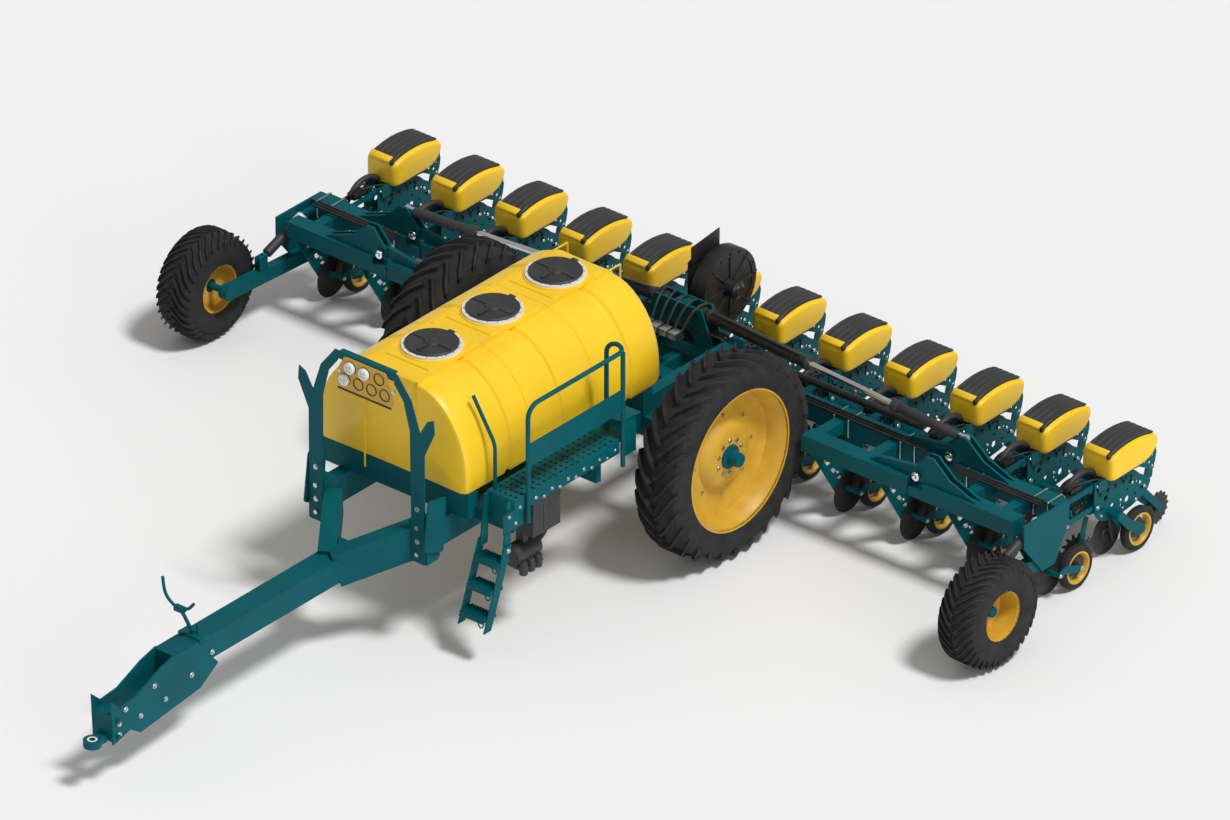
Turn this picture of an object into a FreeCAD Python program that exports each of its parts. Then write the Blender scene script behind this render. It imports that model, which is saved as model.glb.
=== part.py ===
import FreeCAD, Part
import math
import os

# Twelve-row trailed corn planter with a liquid fertiliser tank, in millimetres.
# +Z is up, the front (hitch) faces -Y and the ladder is on the +X side.
# x = 0 is the centre plane, y = 0 is the main axle and z = 0 is the ground.

# ---- driving dimensions -------------------------------------------------------------
ROW_SPACING = 700.0
CENTRE_ROWS = 8
WING_ROWS = 2

TUBE = 150.0  # toolbar tube, square
TUBE_TOP = 880.0
WALL = 12.0  # wall of every welded box section
REAR_TUBE_Y = 1190.0
FRONT_TUBE_Y = 760.0
HINGE_X = 2880.0  # wing fold axis
HINGE_Z = 930.0
PIN_R = 25.0
PIN_FIT = 0.05  # radial clearance of every pin and shaft
SIDE_GAP = 3.0  # sideways gap between plates that turn past each other

AXLE_Z = 907.0
TRACK_HALF = 1400.0
TYRE_WIDTH = 430.0
RIM_R = 610.0
RIM_WIDTH = 400.0
SPINDLE_R = 45.0
AXLE_HALF = 1120.0  # half length of the axle box between the spindles

BEAM_X = 540.0  # the two main beams under the tank
BEAM_W = 120.0
BEAM_TOP = 1130.0
BEAM_FRONT_Y = -2640.0

TANK_FRONT_Y = -2500.0
TANK_REAR_Y = 40.0
TANK_BOTTOM = 1360.0
TANK_TOP = 2250.0
TANK_WALL = 10.0
HATCH_R = 215.0
HATCH_RING_R = 253.0
HATCH_RING_T = 18.0
HATCHES_Y = (-1990.0, -1230.0, -440.0)

EYE_Y = -6180.0
EYE_Z = 436.0
EYE_BORE_R = 25.5
DRAWBAR = 220.0
DRAWBAR_Z = 770.0

LINK_LENGTH = 400.0  # parallel arms of a row unit, pin to pin
LINK_RISE = 200.0  # height between the lower and the upper arm
LINK_Y = 1345.0
LINK_Z = 560.0
LINK_PIN_R = 10.0
LINK_PLATE = 12.0
LINK_HALF = 60.0  # half distance between the two plates of an arm

OPENER_Y = 1980.0
OPENER_R = 190.0
DEPTH_WHEEL_Y = 2200.0
DEPTH_WHEEL_R = 195.0
DEPTH_WHEEL_X = 140.0
CLOSING_Y = 2620.0
CLOSING_R = 150.0

HOPPER_W = 330.0
HOPPER_FRONT_Y = 1830.0
HOPPER_REAR_Y = 2450.0
HOPPER_WALL = 6.0
LID_T = 14.0

FEEDER_Y = 1160.0  # fertiliser disc hung under the toolbar
FEEDER_R = 200.0

WING_WHEEL_X = 4200.0
WING_WHEEL_R = 475.0
WING_WHEEL_W = 360.0
WING_RIM_R = 215.0
WING_END_X = 4000.0

ARM_PIVOT_Y = 1020.0  # wing wheel arm, low on the wing's end plate
ARM_PIVOT_Z = 420.0
ARM_W = 84.0
ARM_BAY = 105.0  # the front tube stops short, so that the arm's cylinder passes
LUG_OUT = 120.0  # fold cylinder lug on the wing, from the fold axis
LUG_UP = 170.0
FOLD_ROOT_X = 200.0
FOLD_ROOT_Z = 1280.0
FOLD_ROD_R = 28.0
FOLD_BARREL_R = 52.0
TOWER_HALF = 56.0  # half gap between the tower plates, round the barrels

DECK_Z = 1380.0
DECK_X0 = 855.0
DECK_X1 = 1190.0
DECK_Y0 = -2320.0
DECK_Y1 = -1000.0

EYE_R = 75.0
# the parts are written with their origin at the middle of the footprint, on the ground
FOOTPRINT_Y = (EYE_Y - EYE_R + CLOSING_Y + CLOSING_R) / 2

OUT = "parts"
os.makedirs(OUT, exist_ok=True)
X = FreeCAD.Vector(1, 0, 0)
Y = FreeCAD.Vector(0, 1, 0)
Z = FreeCAD.Vector(0, 0, 1)


# ---- helpers ------------------------------------------------------------------------
def vec(x, y, z):
    return FreeCAD.Vector(x, y, z)


def box(x0, x1, y0, y1, z0, z1):
    return Part.makeBox(x1 - x0, y1 - y0, z1 - z0, vec(x0, y0, z0))


def hollow_bar(x0, x1, y0, y1, z0, z1):
    """A welded box section with closed ends."""
    w = WALL
    return box(x0, x1, y0, y1, z0, z1).cut(box(x0 + w, x1 - w, y0 + w, y1 - w, z0 + w, z1 - w))


def rod(start, end, r):
    """A round bar between two points."""
    return Part.makeCylinder(r, (end - start).Length, start, end - start)


def ring(centre, axis, outer, inner, length):
    """A pipe centred on a point."""
    base = centre - axis * (length / 2)
    return Part.makeCylinder(outer, length, base, axis).cut(Part.makeCylinder(inner, length, base, axis))


def plate_yz(points, x0, x1):
    """A flat plate with an outline in Y and Z."""
    corners = [vec(x0, y, z) for y, z in points]
    face = Part.Face(Part.makePolygon(corners + corners[:1]))
    return face.extrude(vec(x1 - x0, 0, 0))


def plate_xz(points, y0, y1):
    """A flat plate with an outline in X and Z."""
    corners = [vec(x, y0, z) for x, z in points]
    face = Part.Face(Part.makePolygon(corners + corners[:1]))
    return face.extrude(vec(0, y1 - y0, 0))


def beam(start, end, width, height):
    """A square-cornered bar between two points, its width kept level."""
    along = end - start
    side = along.cross(Z)
    side.normalize()
    up = side.cross(along)
    up.normalize()
    corners = [
        start + side * (width / 2) + up * (height / 2),
        start - side * (width / 2) + up * (height / 2),
        start - side * (width / 2) - up * (height / 2),
        start + side * (width / 2) - up * (height / 2),
    ]
    face = Part.Face(Part.makePolygon(corners + corners[:1]))
    return face.extrude(along)


def lathe(profile, centre, axis):
    """A solid turned about an axis, from (distance along the axis, radius) points."""
    side = Y if abs(axis.dot(Y)) < 0.5 else Z
    corners = [centre + axis * a + side * r for a, r in profile]
    face = Part.Face(Part.makePolygon(corners + corners[:1]))
    return face.revolve(centre, axis, 360)


def pipe_path(points, r, bend):
    """A round tube along straight runs joined by tangent arcs."""
    edges = []
    here = points[0]
    for before, corner, after in zip(points, points[1:], points[2:]):
        into = (corner - before).normalize()
        out = (after - corner).normalize()
        turn = into.getAngle(out)
        cut = bend * math.tan(turn / 2)
        start = corner - into * cut
        end = corner + out * cut
        middle = corner + (out - into).normalize() * (bend / math.cos(turn / 2) - bend)
        edges.append(Part.LineSegment(here, start).toShape())
        edges.append(Part.Arc(start, middle, end).toShape())
        here = end
    edges.append(Part.LineSegment(here, points[-1]).toShape())
    path = Part.Wire(edges)
    first = (points[1] - points[0]).normalize()
    circle = Part.Wire(Part.makeCircle(r, points[0], first))
    return path.makePipeShell([circle], True, False)


def fuse(shapes):
    whole = shapes[0]
    if len(shapes) > 1:
        whole = whole.fuse(shapes[1:])
    return whole.removeSplitter()


def write(name, shapes):
    solids = []
    for shape in shapes:
        solids += shape.Solids
    whole = solids[0] if len(solids) == 1 else Part.makeCompound(solids)
    whole = whole.translated(vec(0, -FOOTPRINT_Y, 0))
    whole.exportStep(os.path.join(OUT, name + ".step"))


# ---- rows ---------------------------------------------------------------------------
def centre_rows():
    half = (CENTRE_ROWS - 1) / 2
    return [(i - half) * ROW_SPACING for i in range(CENTRE_ROWS)]


def wing_rows(side):
    first = CENTRE_ROWS / 2 + 0.5
    return [side * (first + i) * ROW_SPACING for i in range(WING_ROWS)]


SECTIONS = {"left": wing_rows(-1), "centre": centre_rows(), "right": wing_rows(1)}
REAR_LINK_Y = LINK_Y + LINK_LENGTH
REAR_FACE_Y = REAR_TUBE_Y + TUBE / 2
TUBE_BOTTOM = TUBE_TOP - TUBE


def row_bracket(x):
    """Clamp plate on the back of the toolbar with two ears for the parallel arms."""
    shapes = [box(x - 100, x + 100, REAR_FACE_Y, REAR_FACE_Y + 20, LINK_Z - 60, TUBE_TOP)]
    outer = LINK_HALF + LINK_PLATE / 2 + SIDE_GAP
    for side in (-1, 1):
        near = x + side * outer
        far = x + side * (outer + LINK_PLATE)
        outline = [
            (REAR_FACE_Y + 20, LINK_Z - 50),
            (LINK_Y + 35, LINK_Z - 35),
            (LINK_Y + 35, LINK_Z + LINK_RISE + 35),
            (REAR_FACE_Y + 20, TUBE_TOP - 20),
        ]
        shapes.append(plate_yz(outline, min(near, far), max(near, far)))
    body = fuse(shapes)
    holes = []
    for z in (LINK_Z, LINK_Z + LINK_RISE):
        holes.append(rod(vec(x - 120, LINK_Y, z), vec(x + 120, LINK_Y, z), LINK_PIN_R + PIN_FIT))
    return body.cut(holes)


def link_arm(x, z):
    """One parallel arm: two plates, a cross tube, and a pin through each end."""
    shapes = []
    for side in (-1, 1):
        middle = x + side * LINK_HALF
        near, far = middle - LINK_PLATE / 2, middle + LINK_PLATE / 2
        shapes.append(box(near, far, LINK_Y, REAR_LINK_Y, z - 24, z + 24))
        for y in (LINK_Y, REAR_LINK_Y):
            shapes.append(rod(vec(near, y, z), vec(far, y, z), 24))
    inner = LINK_HALF - LINK_PLATE / 2
    middle_y = (LINK_Y + REAR_LINK_Y) / 2
    shapes.append(rod(vec(x - inner, middle_y, z), vec(x + inner, middle_y, z), 18))
    reach = LINK_HALF + LINK_PLATE * 1.5 + SIDE_GAP + 8
    for y in (LINK_Y, REAR_LINK_Y):
        shapes.append(rod(vec(x - reach, y, z), vec(x + reach, y, z), LINK_PIN_R))
    return fuse(shapes)


def row_frame(x):
    """Shank plates, meter housing, seed tube guard and wheel arms of one row unit."""
    outer = LINK_HALF + LINK_PLATE / 2 + SIDE_GAP
    top = LINK_Z + LINK_RISE
    cheeks = []
    for side in (-1, 1):
        near, far = x + side * outer, x + side * (outer + LINK_PLATE)
        outline = [
            (REAR_LINK_Y - 35, LINK_Z - 40),
            (REAR_LINK_Y + 60, LINK_Z - 160),
            (REAR_LINK_Y + 280, LINK_Z - 190),
            (REAR_LINK_Y + 640, LINK_Z - 130),
            (REAR_LINK_Y + 700, LINK_Z - 40),
            (REAR_LINK_Y + 420, LINK_Z + 130),
            (REAR_LINK_Y + 40, top + 40),
            (REAR_LINK_Y - 35, top + 40),
        ]
        cheeks.append(plate_yz(outline, min(near, far), max(near, far)))
    cross = [
        box(x - outer, x + outer, REAR_LINK_Y + 70, REAR_LINK_Y + 90, LINK_Z - 120, top),
        box(x - outer, x + outer, REAR_LINK_Y + 480, REAR_LINK_Y + 500, LINK_Z - 120, LINK_Z + 40),
        box(x - outer, x + outer, REAR_LINK_Y + 100, REAR_LINK_Y + 420, LINK_Z - 20, LINK_Z),
    ]
    frame = fuse(cheeks + cross)
    holes = []
    for z in (LINK_Z, top):
        holes.append(rod(vec(x - 120, REAR_LINK_Y, z), vec(x + 120, REAR_LINK_Y, z), LINK_PIN_R + PIN_FIT))
    for y in (REAR_LINK_Y + 150, REAR_LINK_Y + 230, REAR_LINK_Y + 310):
        holes.append(rod(vec(x - 120, y, LINK_Z + 60), vec(x + 120, y, LINK_Z + 60), 22))
    frame = frame.cut(holes)
    return [frame, row_meter(x), depth_arm(x, outer), opener_leg(x), closing_arm(x)]


def row_meter(x):
    """Round seed meter housing that stands on the frame's floor plate under the hopper."""
    centre_z = LINK_Z + 100
    y = REAR_LINK_Y + 250
    drum = rod(vec(x - 50, y, centre_z), vec(x + 50, y, centre_z), 100)
    neck = box(x - 45, x + 45, y - 60, y + 60, centre_z, HOPPER_FLOOR)
    return fuse([drum, neck])


HOPPER_FLOOR = 772.0


def depth_arm(x, outer):
    """Arm on the outer cheek with the spindle of the depth wheel."""
    near = x + outer + LINK_PLATE
    far = near + 16
    arm = beam(vec((near + far) / 2, 1900, 440), vec((near + far) / 2, DEPTH_WHEEL_Y, DEPTH_WHEEL_R), 16, 60)
    boss = rod(vec(near, DEPTH_WHEEL_Y, DEPTH_WHEEL_R), vec(far, DEPTH_WHEEL_Y, DEPTH_WHEEL_R), 40)
    spindle_end = x + DEPTH_WHEEL_X + 45
    spindle = rod(vec(far, DEPTH_WHEEL_Y, DEPTH_WHEEL_R), vec(spindle_end, DEPTH_WHEEL_Y, DEPTH_WHEEL_R), 12)
    return fuse([arm, boss, spindle])


def opener_leg(x):
    """Leg under the frame's floor plate that carries the seed opener disc's spindle."""
    leg = box(x - 30, x - 12, OPENER_Y - 40, OPENER_Y + 40, OPENER_R, LINK_Z - 20)
    boss = rod(vec(x - 30, OPENER_Y, OPENER_R), vec(x - 12, OPENER_Y, OPENER_R), 40)
    spindle = rod(vec(x - 12, OPENER_Y, OPENER_R), vec(x + 22, OPENER_Y, OPENER_R), 12)
    return fuse([leg, boss, spindle])


def closing_arm(x):
    """Arm behind the frame with the spindle of the closing wheel."""
    near, far = x - 20, x + 0
    arm = beam(vec(x - 10, REAR_LINK_Y + 500, LINK_Z - 90), vec(x - 10, CLOSING_Y, CLOSING_R), 20, 60)
    arm = arm.cut(box(x - 100, x + 100, REAR_LINK_Y + 300, REAR_LINK_Y + 500, 0, 1000))
    boss = rod(vec(near, CLOSING_Y, CLOSING_R), vec(far, CLOSING_Y, CLOSING_R), 36)
    spindle = rod(vec(far, CLOSING_Y, CLOSING_R), vec(x + 40, CLOSING_Y, CLOSING_R), 12)
    return fuse([arm, boss, spindle])


def opener_disc(x):
    profile = [(0, 12 + PIN_FIT), (0, OPENER_R - 6), (3, OPENER_R), (6, OPENER_R - 6), (6, 60), (14, 50), (14, 12 + PIN_FIT)]
    return lathe(profile, vec(x - 8, OPENER_Y, OPENER_R), X)


def tyred_wheel(centre, radius, width, rim, spindle):
    """Small ground wheel: rubber tyre and a dished steel rim, as two solids."""
    half = width / 2
    tyre = [(-half, rim), (-half, radius - 20), (-half + 20, radius), (half - 20, radius), (half, radius - 20), (half, rim)]
    inner = rim - 8
    dish = [
        (-half, rim),
        (half, rim),
        (half, inner),
        (6, inner),
        (6, spindle + PIN_FIT),
        (-14, spindle + PIN_FIT),
        (-14, 45),
        (-6, 45),
        (-6, inner),
        (-half, inner),
    ]
    return [lathe(tyre, centre, X), lathe(dish, centre, X)]


def depth_wheel(x):
    return tyred_wheel(vec(x + DEPTH_WHEEL_X, DEPTH_WHEEL_Y, DEPTH_WHEEL_R), DEPTH_WHEEL_R, 76, 138, 12)


def closing_wheel(x):
    """Toothed steel closing wheel."""
    teeth = 16
    points = []
    for i in range(teeth * 2):
        angle = math.pi * (i - 1) / teeth
        r = CLOSING_R if i % 2 else CLOSING_R - 24
        points.append((CLOSING_Y + r * math.cos(angle), CLOSING_R + r * math.sin(angle)))
    disc = plate_yz(points, x + 6, x + 18)
    hub = rod(vec(x + 2, CLOSING_Y, CLOSING_R), vec(x + 30, CLOSING_Y, CLOSING_R), 40)
    bore = rod(vec(x, CLOSING_Y, CLOSING_R), vec(x + 40, CLOSING_Y, CLOSING_R), 12 + PIN_FIT)
    return fuse([disc, hub]).cut(bore)


def hopper_outline(inset):
    """Side view of the seed hopper: sloping floor and a gently arched top edge."""
    front, rear = HOPPER_FRONT_Y + inset, HOPPER_REAR_Y - inset
    return [
        (front, 840),
        (front + 60, HOPPER_FLOOR + inset),
        (rear - 150, HOPPER_FLOOR + inset),
        (rear, 860),
        (rear, 960),
        (rear - 60, 1002),
        ((front + rear) / 2 + 60, 1045),
        ((front + rear) / 2 - 60, 1048),
        (front + 30, 1012),
        (front, 980),
    ]


def hopper(x):
    """Open-topped seed hopper: its flat-sided shell is open under the lid."""
    half = HOPPER_W / 2
    outer = plate_yz(hopper_outline(0), x - half, x + half)
    inner = plate_yz(hopper_outline(HOPPER_WALL), x - half + HOPPER_WALL, x + half - HOPPER_WALL)
    mouth = box(x - half + 30, x + half - 30, HOPPER_FRONT_Y + 70, HOPPER_REAR_Y - 90, 980, 1100)
    return outer.cut(inner).cut(mouth)


def lid_outline(lift):
    return [
        (HOPPER_FRONT_Y + 30, 1012 + lift),
        ((HOPPER_FRONT_Y + HOPPER_REAR_Y) / 2 - 60, 1048 + lift),
        ((HOPPER_FRONT_Y + HOPPER_REAR_Y) / 2 + 60, 1045 + lift),
        (HOPPER_REAR_Y - 60, 1002 + lift),
    ]


def hopper_lid(x):
    """Arched lid that lies on the hopper's top edge and turns about its rear edge."""
    low = lid_outline(0.3)
    high = lid_outline(0.3 + LID_T)
    return plate_yz(low + high[::-1], x - HOPPER_W / 2 + 20, x + HOPPER_W / 2 - 20)


def feeder(x):
    """Fertiliser disc under the toolbar: hanger, disc, and its side wheel."""
    hanger = plate_yz(
        [(FRONT_TUBE_Y - 60, TUBE_BOTTOM), (FRONT_TUBE_Y + 60, TUBE_BOTTOM), (FEEDER_Y + 60, 330), (FEEDER_Y + 40, 170), (FEEDER_Y - 60, 170)],
        x + 20,
        x + 36,
    )
    slots = [rod(vec(x, y, z), vec(x + 60, y, z), 24) for y, z in ((820, 610), (900, 500), (980, 400))]
    hanger = hanger.cut(slots)
    bolt = rod(vec(x + 36, FEEDER_Y, FEEDER_R), vec(x + 44, FEEDER_Y, FEEDER_R), 30)
    disc = rod(vec(x + 44, FEEDER_Y, FEEDER_R), vec(x + 50, FEEDER_Y, FEEDER_R), FEEDER_R)
    return [hanger, fuse([bolt, disc])]


def write_section(name, rows):
    for kind, maker in (
        ("lower_arms", lambda x: [link_arm(x, LINK_Z)]),
        ("upper_arms", lambda x: [link_arm(x, LINK_Z + LINK_RISE)]),
        ("row_frames", row_frame),
        ("hoppers", lambda x: [hopper(x)]),
        ("hopper_lids", lambda x: [hopper_lid(x)]),
        ("opener_discs", lambda x: [opener_disc(x)]),
        ("depth_wheels", depth_wheel),
        ("closing_wheels", lambda x: [closing_wheel(x)]),
        ("feeders", feeder),
    ):
        shapes = []
        for x in rows:
            shapes += maker(x)
        write(f"{name}_{kind}", shapes)


# ---- chassis ------------------------------------------------------------------------
CENTRE_END_X = HINGE_X - 90
WHEEL_BAY = (TRACK_HALF - TYRE_WIDTH / 2 - 60, TRACK_HALF + TYRE_WIDTH / 2 + 60)


def main_frame():
    """Welded frame: two toolbar tubes, ties, main beams, tank saddles and the axle."""
    front_y, rear_y = FRONT_TUBE_Y, REAR_TUBE_Y
    half = TUBE / 2
    shapes = [
        hollow_bar(-WHEEL_BAY[0], WHEEL_BAY[0], front_y - half, front_y + half, TUBE_BOTTOM, TUBE_TOP),
        hollow_bar(-CENTRE_END_X, CENTRE_END_X, rear_y - half, rear_y + half, TUBE_BOTTOM, TUBE_TOP),
    ]
    for side in (-1, 1):
        start, end = sorted((side * WHEEL_BAY[1], side * CENTRE_END_X))
        shapes.append(hollow_bar(start, end, front_y - half, front_y + half, TUBE_BOTTOM, TUBE_TOP))
    for x in (-2300, -1730, -1050, 0, 1050, 1730, 2300):
        shapes.append(box(x - 50, x + 50, front_y + half, rear_y - half, TUBE_BOTTOM + 20, TUBE_TOP - 20))
    for side in (-1, 1):
        x0 = side * BEAM_X - BEAM_W / 2
        shapes.append(hollow_bar(x0, x0 + BEAM_W, BEAM_FRONT_Y, rear_y + half, TUBE_TOP, BEAM_TOP))
        shapes += hinge_plates(side)
    for y in (-2400, -1300, -200):
        shapes.append(hollow_bar(-780, 780, y - 60, y + 60, BEAM_TOP, TANK_BOTTOM - 0.3))
    axle = hollow_bar(-AXLE_HALF, AXLE_HALF, -75, 75, TUBE_TOP - 60, 1000)
    for side in (-1, 1):
        x0 = side * BEAM_X - BEAM_W / 2
        axle = axle.cut(box(x0, x0 + BEAM_W, -100, 100, TUBE_TOP, BEAM_TOP))
        shapes.append(rod(vec(side * AXLE_HALF, 0, AXLE_Z), vec(side * (TRACK_HALF + 100), 0, AXLE_Z), SPINDLE_R))
    shapes.append(axle)
    return shapes + [row_bracket(x) for x in centre_rows()]


def hinge_plates(side):
    """Two upright plates on each end of the centre frame that carry the fold pin."""
    shapes = []
    for y in (REAR_TUBE_Y, FRONT_TUBE_Y):
        outline = [
            (side * 2350, TUBE_TOP),
            (side * CENTRE_END_X, TUBE_TOP),
            (side * (HINGE_X + 40), HINGE_Z - 20),
            (side * (HINGE_X + 40), HINGE_Z + 45),
            (side * (HINGE_X - 60), HINGE_Z + 60),
            (side * 2450, HINGE_Z + 10),
        ]
        plate = plate_xz(outline, y - 20, y + 20)
        pin_hole = rod(vec(side * HINGE_X, y - 100, HINGE_Z), vec(side * HINGE_X, y + 100, HINGE_Z), PIN_R + PIN_FIT)
        shapes.append(plate.cut(pin_hole))
    return shapes


def wing(side):
    """Outer toolbar: two tubes, ties, an end plate and two forks on the fold pins."""
    inner, outer = HINGE_X - 80, WING_END_X
    half = TUBE / 2
    shapes = []
    for y, reach in ((FRONT_TUBE_Y, outer - ARM_BAY), (REAR_TUBE_Y, outer)):
        low, high = sorted((side * inner, side * (HINGE_X + 70)))
        shapes.append(hollow_bar(low, high, y - half, y + half, TUBE_BOTTOM, TUBE_TOP - 60))
        pin = rod(vec(side * HINGE_X, y - 60, HINGE_Z), vec(side * HINGE_X, y + 60, HINGE_Z), PIN_R)
        start, end = side * (HINGE_X + 70), side * reach
        shapes.append(hollow_bar(min(start, end), max(start, end), y - half, y + half, TUBE_BOTTOM, TUBE_TOP))
        for edge in (-1, 1):
            y0 = y + edge * (20 + SIDE_GAP)
            y1 = y + edge * (20 + SIDE_GAP + 20)
            outline = [
                (side * (HINGE_X - 45), HINGE_Z - 50),
                (side * (HINGE_X - 45), HINGE_Z + 50),
                (side * (HINGE_X + LUG_OUT - 35), HINGE_Z + LUG_UP + 35),
                (side * (HINGE_X + LUG_OUT + 40), HINGE_Z + LUG_UP + 35),
                (side * (HINGE_X + 330), HINGE_Z + 60),
                (side * (HINGE_X + 620), TUBE_TOP),
                (side * (HINGE_X + 70), TUBE_TOP),
                (side * (HINGE_X + 70), HINGE_Z - 50),
            ]
            shapes.append(plate_xz(outline, min(y0, y1), max(y0, y1)).cut(pin))
        shapes.append(pin)
    for x in (3300, 3700):
        x0 = side * x - 50
        shapes.append(box(x0, x0 + 100, FRONT_TUBE_Y + half, REAR_TUBE_Y - half, TUBE_BOTTOM + 20, TUBE_TOP - 20))
    end = [
        (FRONT_TUBE_Y - half, TUBE_BOTTOM - 60),
        (ARM_PIVOT_Y - 90, ARM_PIVOT_Z - 60),
        (ARM_PIVOT_Y + 70, ARM_PIVOT_Z - 60),
        (REAR_TUBE_Y + half, TUBE_BOTTOM - 60),
        (REAR_TUBE_Y + half, TUBE_TOP),
        (FRONT_TUBE_Y - half, TUBE_TOP),
    ]
    x0 = side * outer
    x1 = side * (outer + 20)
    shapes.append(plate_yz(end, min(x0, x1), max(x0, x1)))
    return shapes + [row_bracket(x) for x in wing_rows(side)]


def wing_arm(side):
    """Trailing arm with the wing wheel's spindle, and the cylinder that holds its height."""
    x = side * (WING_END_X - ARM_W / 2 - 0.3)
    low = vec(x, 0, WING_WHEEL_R)
    arm = beam(vec(x, ARM_PIVOT_Y + 40, ARM_PIVOT_Z), low, ARM_W, 120)
    boss = rod(vec(x - ARM_W / 2, 0, WING_WHEEL_R), vec(x + ARM_W / 2, 0, WING_WHEEL_R), 70)
    spindle = rod(vec(x, 0, WING_WHEEL_R), vec(side * (WING_WHEEL_X + 60), 0, WING_WHEEL_R), 30)
    lugs = [box(x + e * 24 - 6, x + e * 24 + 6, 380, 480, 450, 640) for e in (-1, 1)]
    hole = rod(vec(x - 60, 430, 605), vec(x + 60, 430, 605), 15 + PIN_FIT)
    body = fuse([arm, boss, spindle] + lugs).cut(hole)
    start, end = vec(x, 430, 605), vec(x, 960, 800)
    along = (end - start).normalize()
    cylinder = [
        rod(start, start + along * 330, 18),
        rod(start + along * 300, end, 38),
        rod(start - X * 17, start + X * 17, 30),
        rod(start - X * 34, start + X * 34, 15),
        rod(end - X * 30, end + X * 30, 34),
        box(x - 30, x + 30, 940, REAR_TUBE_Y - TUBE / 2, 790, 820),
    ]
    return [body, fuse(cylinder)]


def wing_wheel(side):
    return tyred_wheel(vec(side * WING_WHEEL_X, 0, WING_WHEEL_R), WING_WHEEL_R, WING_WHEEL_W, WING_RIM_R, 30)


def main_wheel(side):
    """Tall narrow tyre, and its rim with a dished centre on the axle spindle."""
    centre = vec(side * TRACK_HALF, 0, AXLE_Z)
    out = side * 1.0
    half, rim = TYRE_WIDTH / 2, RIM_WIDTH / 2
    tyre = [
        (-rim, RIM_R),
        (-half, RIM_R + 60),
        (-half, AXLE_Z - 70),
        (-half + 35, AXLE_Z),
        (half - 35, AXLE_Z),
        (half, AXLE_Z - 70),
        (half, RIM_R + 60),
        (rim, RIM_R),
    ]
    inner = RIM_R - 12
    hub = SPINDLE_R + PIN_FIT
    dish = [(-rim, RIM_R), (rim, RIM_R), (rim, inner), (60, inner), (20, 300), (90, 200), (90, hub), (-60, hub), (-60, 110), (60, 110), (60, 190), (0, 290), (36, inner), (-rim, inner)]
    return lathe(tyre, centre, X * out), lathe(dish, centre, X * out)


def drawbar():
    """Square drawbar, the two gusset arms to the main beams, and the hitch head plates."""
    half = DRAWBAR / 2
    low, high = DRAWBAR_Z - half, DRAWBAR_Z + half
    flange_y = BEAM_FRONT_Y - 20
    shapes = [hollow_bar(-half, half, -5300, -3000, low, high)]
    for side in (-1, 1):
        foot = vec(side * 40, -3260, DRAWBAR_Z)
        tip = vec(side * (BEAM_X - 90), flange_y - 40, DRAWBAR_Z + 190)
        shapes.append(beam(foot, tip, 150, 300))
        x0 = side * BEAM_X - 90
        shapes.append(box(x0, x0 + 180, flange_y - 140, flange_y, 800, 1180))
        shapes.append(box(x0, x0 + 180, flange_y, BEAM_FRONT_Y, TUBE_TOP - 60, BEAM_TOP))
        head = [
            (-6070, 800),
            (-6050, 390),
            (-5840, 445),
            (-5720, 363),
            (-4990, 450),
            (-4770, 590),
            (-4840, 670),
            (-5290, 890),
            (-5480, 840),
            (-5760, 720),
            (-5960, 700),
        ]
        near, far = side * half, side * (half - 16)
        shapes.append(plate_yz(head, min(near, far), max(near, far)))
    body = fuse(shapes)
    holes = [rod(vec(-200, y, z), vec(200, y, z), 18 + PIN_FIT) for y, z in HEAD_BOLTS]
    holes.append(rod(vec(-200, JACK_Y, JACK_Z), vec(200, JACK_Y, JACK_Z), 16 + PIN_FIT))
    return body.cut(holes)


HEAD_BOLTS = ((-6000, 600), (-6000, 455))
JACK_Y = -5420.0
JACK_Z = 540.0


def hitch_eye():
    """Tow eye with an upright bore, on a block that two bolts hold between the head plates."""
    half = DRAWBAR / 2 - 16
    shapes = [
        box(-half, half, -6055, -5940, 420, 660),
        box(-50, 50, EYE_Y, -6055, EYE_Z - 30, EYE_Z + 30),
        ring(vec(0, EYE_Y, EYE_Z), Z, EYE_R, EYE_BORE_R, 60),
    ]
    body = fuse(shapes).cut(rod(vec(0, EYE_Y, 0), vec(0, EYE_Y, 900), EYE_BORE_R))
    bolts = [rod(vec(-half - 40, y, z), vec(half + 40, y, z), 18) for y, z in HEAD_BOLTS]
    return fuse([body] + bolts)


def parking_jack():
    """Folding stand stowed inside the hitch head."""
    half = 60
    shapes = [
        rod(vec(-DRAWBAR / 2 - 12, JACK_Y, JACK_Z), vec(DRAWBAR / 2 + 12, JACK_Y, JACK_Z), 16),
        box(-half, half, JACK_Y - 40, JACK_Y + 480, JACK_Z - 35, JACK_Z + 35),
        box(-85, 85, JACK_Y + 480, JACK_Y + 492, JACK_Z - 70, JACK_Z + 70),
    ]
    return fuse(shapes)


def hose_holder():
    """Clamp on the drawbar with a leaning post and an open cradle for the hoses."""
    y = -4950
    top = DRAWBAR_Z + DRAWBAR / 2
    foot = box(-70, 70, y - 60, y + 60, top, top + 14)
    head = vec(0, y - 60, 1240)
    post = rod(vec(0, y, top + 10), head, 14)
    cradle = pipe_path([head + vec(-170, 0, 150), head + vec(-110, 0, 0), head + vec(110, 0, 0), head + vec(170, 0, 150)], 11, 60)
    return fuse([foot, post, cradle])


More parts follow.
